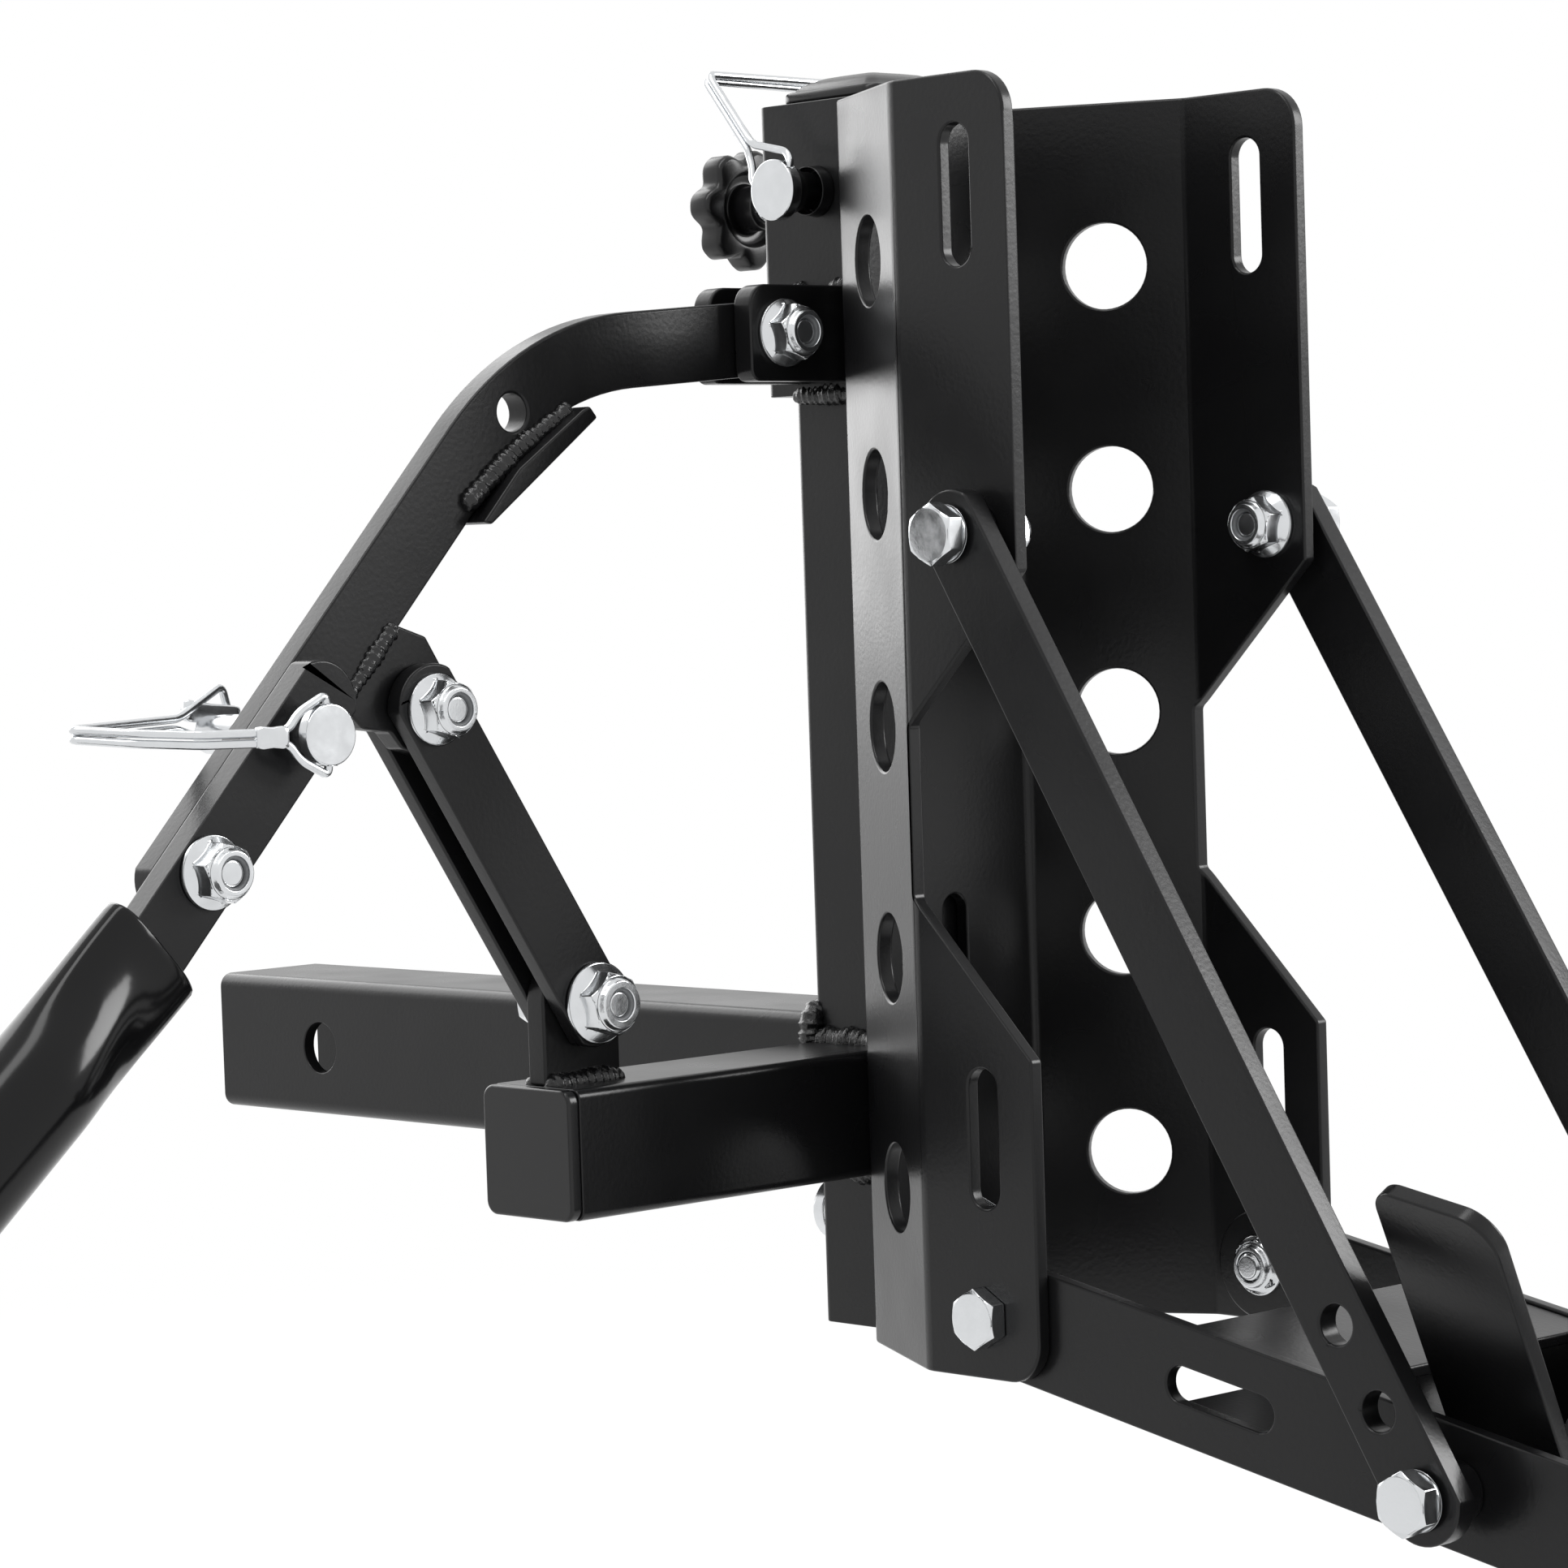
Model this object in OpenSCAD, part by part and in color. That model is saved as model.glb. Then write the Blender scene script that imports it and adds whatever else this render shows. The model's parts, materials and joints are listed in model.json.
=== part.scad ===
// Front wheel carrier for a motorcycle, held in a 2 inch hitch receiver, with a lever lift.
// Millimetres, +Z up. The origin is the middle of the hitch pin hole, +X points to the
// rear of the towing vehicle, and the short side arm points to -Y.

/* [Hitch frame] */
// Width of the square hitch shank
shank_w = 50.8; // [40:0.1:64]
// Wall of the hitch shank
shank_wall = 5; // [3:0.5:8]
// Outside corner radius of the hitch shank
shank_r = 5; // [2:0.5:8]
// Diameter of the hitch pin hole
pin_hole_d = 19; // [13:0.1:22]
// From the hitch pin hole to the front end of the shank
pin_to_end = 60; // [40:1:90]
// From the hitch pin hole to the axis of the mast
mast_x = 282; // [200:1:400]
// Width of the square tube of the mast and of the side arm
mast_w = 41; // [30:0.5:60]
// Wall of the mast and of the side arm
mast_wall = 3; // [2:0.5:5]
// Outside corner radius of the mast and of the side arm
mast_r = 3; // [1:0.5:6]
// Height of the mast top over the shank axis
mast_top = 326.2; // [250:1:450]
// Depth of the mast foot under the shank axis
mast_foot = 79; // [40:1:120]
// Reach of the side arm from the mast axis, cap included
arm_reach = 166.5; // [120:0.5:260]
// Thickness of the plastic end cap of the side arm
arm_cap_t = 4.5; // [2:0.5:8]
// Side of the top cap of the mast
cap_w = 43.5; // [40:0.5:60]
// Height of the rim of the top cap
cap_rim = 3.5; // [2:0.5:8]
// Height of the dome of the top cap over its rim
cap_dome = 5.5; // [2:0.5:12]
// Depth of the plug of a plastic cap inside its tube
plug_depth = 12; // [6:1:25]
// Gap between a plastic plug and its tube, each side
plug_gap = 0.2; // [0:0.05:0.5]
// Height of the guide bolt under the shank axis
guide_z = 44; // [30:1:60]

/* [Flat bars] */
// Width of the lever, link, handle and brace bars
bar_w = 24; // [18:0.5:40]
// Thickness of the lever bar
lever_t = 9.5; // [6:0.5:14]
// Thickness of the handle bar
handle_t = 9.5; // [6:0.5:14]
// Thickness of each lift link
link_t = 6.5; // [4:0.5:10]
// Thickness of the lever lug and of the post on the arm
lug_t = 8; // [5:0.5:12]
// Thickness of the clevis plates
clevis_t = 8; // [5:0.5:12]
// Gap between a moving bar and the part beside it
side_gap = 0.4; // [0.3:0.1:1.5]
// Gap under a bolt head or nut that a bar turns against
head_gap = 0.3; // [0.3:0.1:1]
// Thickness of the side braces
brace_t = 8; // [5:0.5:12]

/* [Linkage points, from the mast axis] */
// Y of the clevis bolt
a_y = -57.3; // [-80:0.1:-40]
// Z of the clevis bolt
a_z = 249; // [220:0.1:280]
// Y of the bolt between lever and links
b_y = -205.4; // [-240:0.1:-160]
// Z of the bolt between lever and links
b_z = 135; // [100:0.1:180]
// Y of the handle bolt
c_y = -295.2; // [-340:0.1:-260]
// Z of the handle bolt
c_z = 92; // [60:0.1:130]
// Y of the bolt between links and post
d_y = -145; // [-180:0.1:-110]
// Z of the bolt between links and post
d_z = 40.7; // [30:0.1:70]
// Y of the handle lock pin
p_y = -258; // [-280:0.1:-230]
// Z of the handle lock pin
p_z = 130; // [100:0.1:160]

/* [Lever] */
// Angle of the upper run of the lever under the horizontal
lever_top_deg = 4; // [0:0.5:20]
// Angle of the lower run of the lever under the horizontal
lever_low_deg = 47; // [30:0.5:70]
// Length of the upper run of the lever
lever_top_len = 71.5; // [50:0.5:120]
// Radius of the middle line of the lever bend
lever_bend_r = 100; // [60:1:160]
// Y where the two runs of the lever would meet
lever_knee_y = -154.4; // [-180:0.1:-120]
// Z where the two runs of the lever would meet
lever_knee_z = 241.1; // [200:0.1:280]
// Diameter of the spare hole in the lever bend
spare_hole_d = 12; // [8:0.5:16]
// Width of the oblong hole at the upper end of the lever
toggle_hole_w = 12.4; // [10:0.1:16]
// How far the oblong hole is drawn out downward
toggle_hole_run = 3.7; // [0:0.1:8]
// Width of the stop plate across the lever
stop_w = 25; // [12:1:40]

/* [Handle] */
// Outside diameter of the handle tube
tube_d = 36; // [25:0.5:45]
// Wall of the handle tube
tube_wall = 2.5; // [1.5:0.5:5]
// Thickness of the flattened mouth of the handle tube
mouth_t = 16; // [12:0.5:25]
// Length of the flattened mouth
mouth_len = 46; // [20:1:80]
// Length of the handle tube
tube_len = 400; // [200:5:700]
// Angle of the handle tube under the horizontal
tube_deg = 41; // [30:0.5:60]
// Length of the rubber grip
grip_len = 120; // [80:5:180]
// Wall of the rubber grip
grip_t = 2.5; // [1.5:0.5:5]

/* [Sliding sleeve] */
// Outside width of the sleeve
sleeve_w = 54; // [48:0.5:80]
// Clearance between sleeve and mast, each side
sleeve_gap = 0.5; // [0.3:0.1:1.5]
// Height of the sleeve
sleeve_h = 95.5; // [60:0.5:140]
// Height of the sleeve foot over the shank axis
sleeve_z = 230; // [150:1:260]
// Height of the lock pin and of the knob over the shank axis
lock_z = 296; // [260:1:315]
// Diameter of the lock pins
lock_pin_d = 12; // [8:0.5:16]
// Head diameter of the mast lock pin
lock_head_d = 19.8; // [14:0.1:26]
// Diameter of the star knob over its lobes
knob_d = 39; // [30:1:60]
// Thickness of the star knob
knob_t = 11; // [6:0.5:20]
// From the mast axis to the outer face of the star knob
knob_x = 70; // [55:1:90]

/* [Cradle] */
// Plate thickness of the cradle back
back_t = 5; // [3:0.5:8]
// Back face of the web, from the mast axis
web_x = 21.5; // [21:0.1:40]
// Outside width of the web
web_w = 78.7; // [60:0.1:120]
// X of the bend between angled face and flange
flange_x = 77; // [60:0.5:120]
// X of the free edge of the flanges
edge_x = 125.2; // [100:0.1:180]
// Outside width over the flanges
flange_w = 140.3; // [110:0.1:220]
// Outside bend radius of the plate
bend_r = 9; // [5:0.5:15]
// Top of the cradle back over the shank axis
back_top = 322.8; // [250:0.1:400]
// Foot of the cradle back under the shank axis
back_foot = 79; // [40:0.5:140]
// Corner radius of the flanges
corner_r = 13; // [3:0.5:25]
// Diameter of the lightening holes
light_d = 28.3; // [15:0.1:45]
// Pitch of the lightening holes
light_pitch = 73.5; // [50:0.5:100]
// Height of the top lightening hole
light_z = 269.4; // [200:0.1:300]
// X of the lightening holes
light_x = 51.5; // [40:0.5:70]
// X of the strap slots
slot_x = 104; // [90:0.5:115]
// Length of the strap slots
slot_len = 43.5; // [20:0.5:60]
// Width of the strap slots
slot_w = 12; // [6:0.5:20]
// Height of the upper strap slots
slot_top_z = 285.8; // [250:0.1:300]
// Height of the lower strap slots
slot_low_z = -4; // [-40:0.5:30]
// X of the inner edge of the waist
waist_x = 76.5; // [70:0.5:100]
// Upper end of the waist at the flange edge
waist_z1 = 170.5; // [150:0.5:200]
// Upper end of the waist at its inner edge
waist_z2 = 123; // [110:0.5:150]
// Lower end of the waist at its inner edge
waist_z3 = 70; // [50:0.5:100]
// Lower end of the waist at the flange edge
waist_z4 = 21; // [0:0.5:45]
// Width of the slot in the web for the guide bolt
guide_slot_w = 11; // [10.5:0.1:20]
// Travel of the cradle on the mast
lift = 100; // [40:5:120]

/* [Braces and tray] */
// X of the upper brace bolts
brace_x = 109.6; // [90:0.1:115]
// Height of the upper brace bolts
brace_z = 182.6; // [160:0.1:200]
// Gap between brace and flange
brace_gap = 4.4; // [2:0.1:10]
// Pitch of the adjusting holes in the brace
adjust_pitch = 27.6; // [20:0.1:40]
// X of the tray pivot bolts
tray_x = 102.6; // [85:0.5:110]
// Z of the tray pivot bolts
tray_z = -59.7; // [-70:0.1:-50]
// Slope of the tray
tray_deg = 10.5; // [0:0.5:25]
// Length of the tray past its pivot bolts
tray_len = 320; // [220:5:450]
// Height of the tray side plates
tray_h = 36.4; // [25:0.1:60]
// Plate thickness of the tray
tray_t = 5; // [3:0.5:8]
// From tray pivot to the lower brace bolt along the tray
tray_bolt_s = 182.6; // [150:0.1:250]
// From tray pivot to the middle of the tray slot
tray_slot_s = 91.8; // [60:0.5:140]
// Length of the tray slot
tray_slot_len = 42; // [20:1:60]
// Width of the tray slot
tray_slot_w = 11; // [6:0.5:20]
// Thickness of the wheel guide plates
guide_t = 5.5; // [4:0.5:10]
// From tray pivot to the front edge of a wheel guide
guide_s = 153; // [120:0.5:200]
// Length of a wheel guide along the tray
guide_len = 42.8; // [30:0.1:80]
// From the middle plane to the outer face of a wheel guide, at guide_h
guide_y = 60; // [45:0.5:80]
// Height over the middle line of the tray where guide_y is taken
guide_h = 44.7; // [25:0.1:60]
// Length of a wheel guide above guide_h
guide_up = 46; // [20:0.5:80]
// Outward lean of the wheel guides
guide_deg = 33; // [20:0.5:50]

/* [Hardware] */
// Thread diameter of the bolts
bolt_d = 10; // [8:1:12]
// Clearance on the diameter in a bolt hole
bolt_fit = 0.16; // [0.02:0.01:0.2]
// Width across flats of the bolt heads
head_af = 17; // [13:0.5:24]
// Height of the bolt heads
head_h = 6.4; // [5:0.1:10]
// Diameter of the low round head of the handle bolt
low_head_d = 16; // [12:0.5:22]
// Height of the low round head of the handle bolt
low_head_h = 2.6; // [1.5:0.1:4]
// Width across flats of the flange nuts
nut_af = 16; // [13:0.5:24]
// Flange diameter of the nuts
nut_flange_d = 22; // [18:0.1:30]
// Height of the nuts with their nylon collar
nut_h = 12; // [8:0.5:18]
// Height of the low nuts inside the tray
low_nut_h = 6; // [4:0.5:12]
// Washer thickness under the brace bolt heads
washer_t = 1.5; // [1:0.5:3]
// Washer diameter
washer_d = 18; // [17:0.5:30]
// Wire diameter of the pin bails
wire_d = 2.6; // [1.5:0.1:4]

/* [Hidden] */
$fn = 40;
e = 0.01;
black = [0.07, 0.07, 0.075];
gloss = [0.04, 0.04, 0.045];
zinc = [0.75, 0.76, 0.78];
plastic = [0.09, 0.09, 0.09];
rubber = [0.06, 0.06, 0.06];
mh = mast_w / 2;
arm_z = mh - shank_w / 2;
bolt_r = bolt_d / 2;
hole_r = (bolt_d + bolt_fit) / 2;
lever_x = lever_t / 2;
link_in = lug_t / 2 + side_gap;
link_out = link_in + link_t;
bar_in = lever_x + side_gap;
bar_out = bar_in + handle_t;
clevis_in = lever_x + side_gap + 0.35;
clevis_out = clevis_in + clevis_t;
sh = sleeve_w / 2;
sleeve_in = mh + sleeve_gap;
post_y = d_y - 0.5;
fh = flange_w / 2;
face_k = (flange_w - web_w) / 2 / (flange_x - web_x);
face_deg = atan(face_k);
brace_y = fh + brace_gap;
tray_y = fh - back_t - 0.14;
foot_x = tray_x + tray_bolt_s * cos(tray_deg);
foot_z = tray_z - tray_bolt_s * sin(tray_deg);
brace_run = sqrt(pow(foot_x - brace_x, 2) + pow(foot_z - brace_z, 2));
brace_deg = atan2(foot_z - brace_z, foot_x - brace_x);
notch_r = lock_pin_d / 2 + 0.5;
low_dir = [-cos(lever_low_deg), -sin(lever_low_deg)];
top_dir = [-cos(lever_top_deg), -sin(lever_top_deg)];
turn = lever_low_deg - lever_top_deg;
tangent = lever_bend_r * tan(turn / 2);
knee = [lever_knee_y, lever_knee_z];
arc_start = knee - top_dir * tangent;
arc_end = knee + low_dir * tangent;
arc_mid = arc_start + lever_bend_r * [sin(lever_top_deg), -cos(lever_top_deg)];
low_len = (knee[0] - c_y) / cos(lever_low_deg) - tangent;
mouth_at = [c_y - 18.8, c_z - 20.5];
end_r = 13.5;
bolt_tip = 1.5;
lever_head_x = 24.3;
head_y = sleeve_w / 2 + 18.25;
bail_deg = 37.3;

// Helpers
module at_mast() translate([mast_x, 0, 0]) children();
module yz(x0, x1) translate([x0, 0, 0]) rotate([90, 0, 90]) linear_extrude(x1 - x0) children();
module xz(y0, y1) translate([0, y1, 0]) rotate([90, 0, 0]) linear_extrude(y1 - y0) children();
module xcyl(x0, x1, r, y, z) translate([x0, y, z]) rotate([0, 90, 0]) cylinder(h = x1 - x0, r = r);
module ycyl(y0, y1, r, x, z) translate([x, y1, z]) rotate([90, 0, 0]) cylinder(h = y1 - y0, r = r);
module rsquare(w, r) offset(r = r) square(w - 2 * r, center = true);
module tube_section(w, wall, r) difference() {
  rsquare(w, r);
  rsquare(w - 2 * wall, max(r - wall, 0.8));
}
module slot2d(len, w) union() {
  square([len - w, w], center = true);
  for (s = [-1, 1]) translate([s * (len - w) / 2, 0]) circle(d = w);
}
// Bent wire through a list of points, each run the hull of its two ends
module wire(pts, d) for (i = [1 : len(pts) - 1]) hull() {
  translate(pts[i - 1]) sphere(d = d, $fn = 8);
  translate(pts[i]) sphere(d = d, $fn = 8);
}
// Bolt along +Z, bearing face of the head at the origin
module hex_bolt(len, wash = 0) {
  translate([0, 0, -head_h - wash]) intersection() {
    cylinder(h = head_h, d = head_af / cos(30), $fn = 6);
    cylinder(h = head_h, d1 = head_af * 0.95, d2 = head_af * 0.95 + head_h * 3.4);
  }
  if (wash > 0) translate([0, 0, -wash]) cylinder(h = wash, d = washer_d);
  translate([0, 0, -e]) cylinder(h = len - 1 + e, r = bolt_r);
  translate([0, 0, len - 1]) cylinder(h = 1, r1 = bolt_r, r2 = bolt_r - 1);
}
// Flange nut along +Z, bearing face at the origin, with its nylon collar
module flange_nut(d = nut_flange_d, af = nut_af, h = nut_h) difference() {
  union() {
    cylinder(h = 1.4, d = d);
    translate([0, 0, 1.4 - e]) cylinder(h = 2.6, d1 = d - 0.6, d2 = af);
    intersection() {
      cylinder(h = h - 2.2, d = af / cos(30), $fn = 6);
      cylinder(h = h - 2.2, d1 = af * 2.2, d2 = af * 0.98);
    }
    translate([0, 0, h - 2.2 - e]) cylinder(h = 2.2, d1 = af * 0.92, d2 = af * 0.82);
  }
  translate([0, 0, -1]) cylinder(h = nut_h + 2, r = bolt_r + 0.05);
}
module bolt_x(x, y, z, len) translate([x, y, z]) rotate([0, 90, 0]) rotate([0, 0, 30]) hex_bolt(len);
module nut_x(x, y, z, d = nut_flange_d, af = nut_af) translate([x, y, z]) rotate([0, 90, 0])
  rotate([0, 0, 12]) flange_nut(d, af);
// Bolt and nut across the cradle; side is -1 for the near side and 1 for the far side
module bolt_y(side, y, x, z, len, wash = 0) translate([x, side * y, z]) rotate([side * 90, 0, 0])
  rotate([0, 0, 30]) hex_bolt(len, wash);
module nut_y(side, y, x, z, d = nut_flange_d, h = nut_h) translate([x, side * y, z])
  rotate([side * 90, 0, 0]) rotate([0, 0, 20]) flange_nut(d, nut_af, h);

// Hitch frame
module hitch_shank() color(black) difference() {
  translate([-pin_to_end, 0, 0]) rotate([90, 0, 90])
    linear_extrude(pin_to_end + mast_x - mh) tube_section(shank_w, shank_wall, shank_r);
  ycyl(-shank_w, shank_w, pin_hole_d / 2, 0, 0);
}
module side_arm() color(black) at_mast() translate([0, -mh, arm_z]) rotate([90, 0, 0])
  linear_extrude(arm_reach - arm_cap_t - mh) tube_section(mast_w, mast_wall, mast_r);
module mast_tube() color(black) at_mast() difference() {
  translate([0, 0, -mast_foot]) linear_extrude(mast_foot + mast_top)
    tube_section(mast_w, mast_wall, mast_r);
  xcyl(-mast_w, mast_w, hole_r, 0, -guide_z);
  ycyl(-mast_w, mast_w, lock_pin_d / 2 + 0.5, 0, lock_z);
}
module arm_end_cap() color(plastic) at_mast() translate([0, -arm_reach, arm_z]) {
  xz(0, arm_cap_t) rsquare(mast_w, mast_r + 1.5);
  xz(arm_cap_t - e, arm_cap_t + plug_depth) difference() {
    rsquare(mast_w - 2 * mast_wall - 2 * plug_gap, 1);
    rsquare(mast_w - 2 * mast_wall - 5, 1);
  }
}
module mast_top_cap() color(plastic) at_mast() translate([0, 0, mast_top]) {
  intersection() {
    linear_extrude(cap_rim + cap_dome) rsquare(cap_w, 5);
    translate([0, 0, cap_rim + cap_dome - 52]) sphere(r = 52, $fn = 72);
  }
  translate([0, 0, -plug_depth]) linear_extrude(plug_depth + e) difference() {
    rsquare(mast_w - 2 * mast_wall - 2 * plug_gap, 1);
    rsquare(mast_w - 2 * mast_wall - 5, 1);
  }
}
module pivot_post() color(black) at_mast() difference() {
  yz(-lug_t / 2, lug_t / 2) {
    translate([post_y - 15.7, arm_z + mh]) square([31.4, d_z - arm_z - mh]);
    translate([post_y, d_z]) intersection() {
      circle(r = 15.7);
      translate([-16, -1]) square([32, 20]);
    }
  }
  xcyl(-lug_t, lug_t, hole_r, d_y, d_z);
}
module guide_bolt() color(zinc) at_mast() translate([-mh - 9.5, 0, -guide_z]) rotate([0, 90, 0]) {
  cylinder(h = 9.5, d = 20);
  intersection() {
    translate([0, 0, -8]) cylinder(h = 8 + e, d = 21.4);
    translate([0, 0, 10]) sphere(r = 18, $fn = 56);
  }
  cylinder(h = 9.5 + mast_w + 14, r = bolt_r);
}
module guide_nut() color(zinc) at_mast() nut_guide();
module nut_guide() difference() {
  translate([web_x + back_t + 0.6, 0, -guide_z]) rotate([0, 90, 0]) {
    cylinder(h = 1.8, d = 20);
    cylinder(h = 7.5, d = nut_af / cos(30), $fn = 6);
  }
  xcyl(0, 60, bolt_r + 0.05, 0, -guide_z);
}
module post_bolt() color(zinc) at_mast() bolt_x(-link_out - head_gap, d_y, d_z,
  2 * link_out + 2 * head_gap + nut_h + bolt_tip);
module post_nut() color(zinc) at_mast() nut_x(link_out + head_gap, d_y, d_z, 25.5, 18);

// Lift links
module link_shape() {
  v = [d_y - b_y, d_z - b_z];
  difference() {
    translate([b_y, b_z]) rotate(atan2(v[1], v[0])) {
      translate([0, -bar_w / 2]) square([norm(v), bar_w]);
      for (s = [0, norm(v)]) translate([s, 0]) intersection() {
        circle(r = 14);
        square([40, bar_w], center = true);
      }
    }
    for (p = [[b_y, b_z], [d_y, d_z]]) translate(p) circle(r = hole_r);
  }
}
module link_front() color(black) at_mast() yz(link_in, link_out) link_shape();
module link_rear() color(black) at_mast() yz(-link_out, -link_in) link_shape();
module link_bolt() color(zinc) at_mast() bolt_x(-link_out, b_y, b_z, 2 * link_out + nut_h + bolt_tip);
module link_nut() color(zinc) at_mast() nut_x(link_out, b_y, b_z);

// Lever
module lever_outline() {
  translate(arc_start) rotate(-180 + lever_top_deg) translate([-lever_top_len, -bar_w / 2])
    square([lever_top_len + e, bar_w]);
  translate(arc_mid) intersection() {
    difference() {
      circle(r = lever_bend_r + bar_w / 2, $fn = 160);
      circle(r = lever_bend_r - bar_w / 2, $fn = 160);
    }
    polygon([[0, 0], 200 * [-sin(lever_top_deg), cos(lever_top_deg)],
      260 * [-sin(turn / 2 + lever_top_deg), cos(turn / 2 + lever_top_deg)],
      200 * [-sin(lever_low_deg), cos(lever_low_deg)]]);
  }
  translate(arc_end - low_dir * 0.02) rotate(180 + lever_low_deg) intersection() {
    translate([0, -bar_w / 2]) square([low_len + 40, bar_w]);
    union() {
      translate([-1, -bar_w]) square([low_len + 1, 2 * bar_w]);
      translate([low_len, 0]) circle(r = end_r);
    }
  }
}
module lever_bar() color(black) at_mast() difference() {
  yz(-lever_x, lever_x) difference() {
    lever_outline();
    translate([a_y, a_z]) circle(d = toggle_hole_w);
    translate([a_y - 1, a_z - toggle_hole_run]) circle(d = toggle_hole_w);
    translate([a_y - 0.5, a_z - toggle_hole_run / 2]) rotate(15)
      square([toggle_hole_w, toggle_hole_run + 0.1], center = true);
    translate([p_y, p_z]) circle(r = notch_r);
    translate([p_y, p_z]) rotate(lever_low_deg - 180)
      polygon([[-notch_r, 0], [-notch_r, 18], [notch_r + 3.5, 18], [notch_r, 0]]);
  }
  xcyl(-20, 20, hole_r, c_y, c_z);
  xcyl(-20, 20, spare_hole_d / 2, -165.2, 224.5);
}
module lever_lug() color(black) at_mast() yz(-lug_t / 2, lug_t / 2) difference() {
  polygon([[-214.6, 161.2], [-236.2, 137.8], [-228, 130], [b_y - 12.4, b_z - 6.4], [b_y - 8, b_z - 11.6],
    [b_y, b_z - 14], [b_y + 9.5, b_z - 10.3], [b_y + 14, b_z], [b_y + 13, b_z + 6], [b_y + 3, b_z + 22]]);
  lever_outline();
  translate([b_y, b_z]) circle(r = hole_r);
}
module stop_plate() color(black) at_mast() yz(-stop_w / 2, stop_w / 2) difference() {
  polygon([[-140.5, 226.6], [-137, 222.4], [-181.4, 190.2], [-187.3, 191.6], [-188.3, 194.6]]);
  lever_outline();
}
module handle_bolt() color(zinc) at_mast() {
  translate([-lever_x, c_y, c_z]) intersection() {
    rotate([0, -90, 0]) cylinder(h = low_head_h, d = low_head_d);
    translate([12, 0, 0]) sphere(r = 12 + low_head_h, $fn = 56);
  }
  xcyl(-lever_x - e, bar_out + head_gap + nut_h + bolt_tip - 1, bolt_r, c_y, c_z);
  translate([bar_out + head_gap + nut_h + bolt_tip - 1, c_y, c_z]) rotate([0, 90, 0])
    cylinder(h = 1, r1 = bolt_r, r2 = bolt_r - 1);
}
module handle_nut() color(zinc) at_mast() nut_x(bar_out + head_gap, c_y, c_z);

// Handle
module handle_bar_outline(grow = 0) {
  translate([c_y, c_z]) rotate(lever_low_deg) {
    translate([-46, -bar_w / 2 + 0.7 - grow]) square([46 + 64, bar_w - 1.4 + 2 * grow]);
    translate([64, 0]) intersection() {
      circle(r = 13);
      square([40, bar_w - 1.4], center = true);
    }
  }
}
module handle_bar() color(black) at_mast() difference() {
  yz(bar_in, bar_out) handle_bar_outline();
  xcyl(0, 20, hole_r, c_y, c_z);
  xcyl(0, 20, lock_pin_d / 2 + 0.08, p_y, p_z);
}
module handle_tube() color(gloss) at_mast() difference() {
  translate([(bar_in + bar_out) / 2, mouth_at[0], mouth_at[1]]) rotate([90 + tube_deg, 0, 0]) {
    hull() {
      linear_extrude(mouth_len * 0.45) scale([1, 1]) slot_mouth();
      translate([0, 0, mouth_len]) linear_extrude(1) circle(d = tube_d);
    }
    translate([0, 0, mouth_len]) cylinder(h = tube_len - mouth_len, d = tube_d);
  }
  translate([(bar_in + bar_out) / 2, mouth_at[0], mouth_at[1]]) rotate([90 + tube_deg, 0, 0])
    translate([0, 0, mouth_len + 4]) cylinder(h = tube_len, d = tube_d - 2 * tube_wall);
  yz(bar_in - 0.1, bar_out + 0.1) handle_bar_outline(0.1);
}
module slot_mouth() {
  square([mouth_t, 34 - mouth_t + 4], center = true);
  for (s = [-1, 1]) translate([0, s * (34 - mouth_t + 4) / 2]) circle(d = mouth_t);
}
module handle_grip() color(rubber) at_mast()
  translate([(bar_in + bar_out) / 2, mouth_at[0], mouth_at[1]]) rotate([90 + tube_deg, 0, 0])
  translate([0, 0, tube_len - grip_len + 6]) difference() {
    union() {
      cylinder(h = grip_len, d = tube_d + 2 * grip_t);
      for (s = [0 : 11]) translate([0, 0, 10 + s * 9]) cylinder(h = 3, d = tube_d + 2 * grip_t + 1.6);
    }
    translate([0, 0, -1]) cylinder(h = grip_len - 5, d = tube_d + 0.1);
  }
module lever_pin() color(zinc) at_mast() difference() {
  union() {
    xcyl(-33, 23, lock_pin_d / 2, p_y, p_z);
    xcyl(lever_head_x - 2.3, lever_head_x + 2.2, 9.2, p_y, p_z);
  }
  translate([lever_head_x, p_y, p_z]) cylinder(h = 40, d = wire_d + 0.6, center = true);
}
module lever_pin_bail() color(zinc) at_mast() {
  x = lever_head_x;
  wire([[x, p_y, p_z + 4], [x, p_y, p_z + 12], [x, p_y - 9.8, p_z + 7.6], [x, p_y - 13, p_z + 1.6],
    [20, -280, p_z + 1.5], [12, -302, p_z + 2.2], [2, -321, p_z + 3.4], [-9, -324, p_z + 4.4],
    [-19, -302, p_z + 5], [-31, -272, p_z + 7], [-33, p_y - 2, p_z + 8.4],
    [-28, p_y + 1, p_z + 8.6]], wire_d);
  wire([[x, p_y, p_z - 4], [x, p_y, p_z - 12], [x, p_y - 9.8, p_z - 7.6], [x, p_y - 13, p_z - 1.4],
    [20, -280, p_z - 1.4], [12, -302, p_z - 0.6], [2, -321, p_z + 0.6], [-9, -324, p_z + 1.6],
    [-19, -302, p_z + 2], [-31, -272, p_z + 2], [-35.4, p_y - 6, p_z + 1.4], [-35.4, p_y + 1, p_z + 1]],
    wire_d);
}

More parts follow.
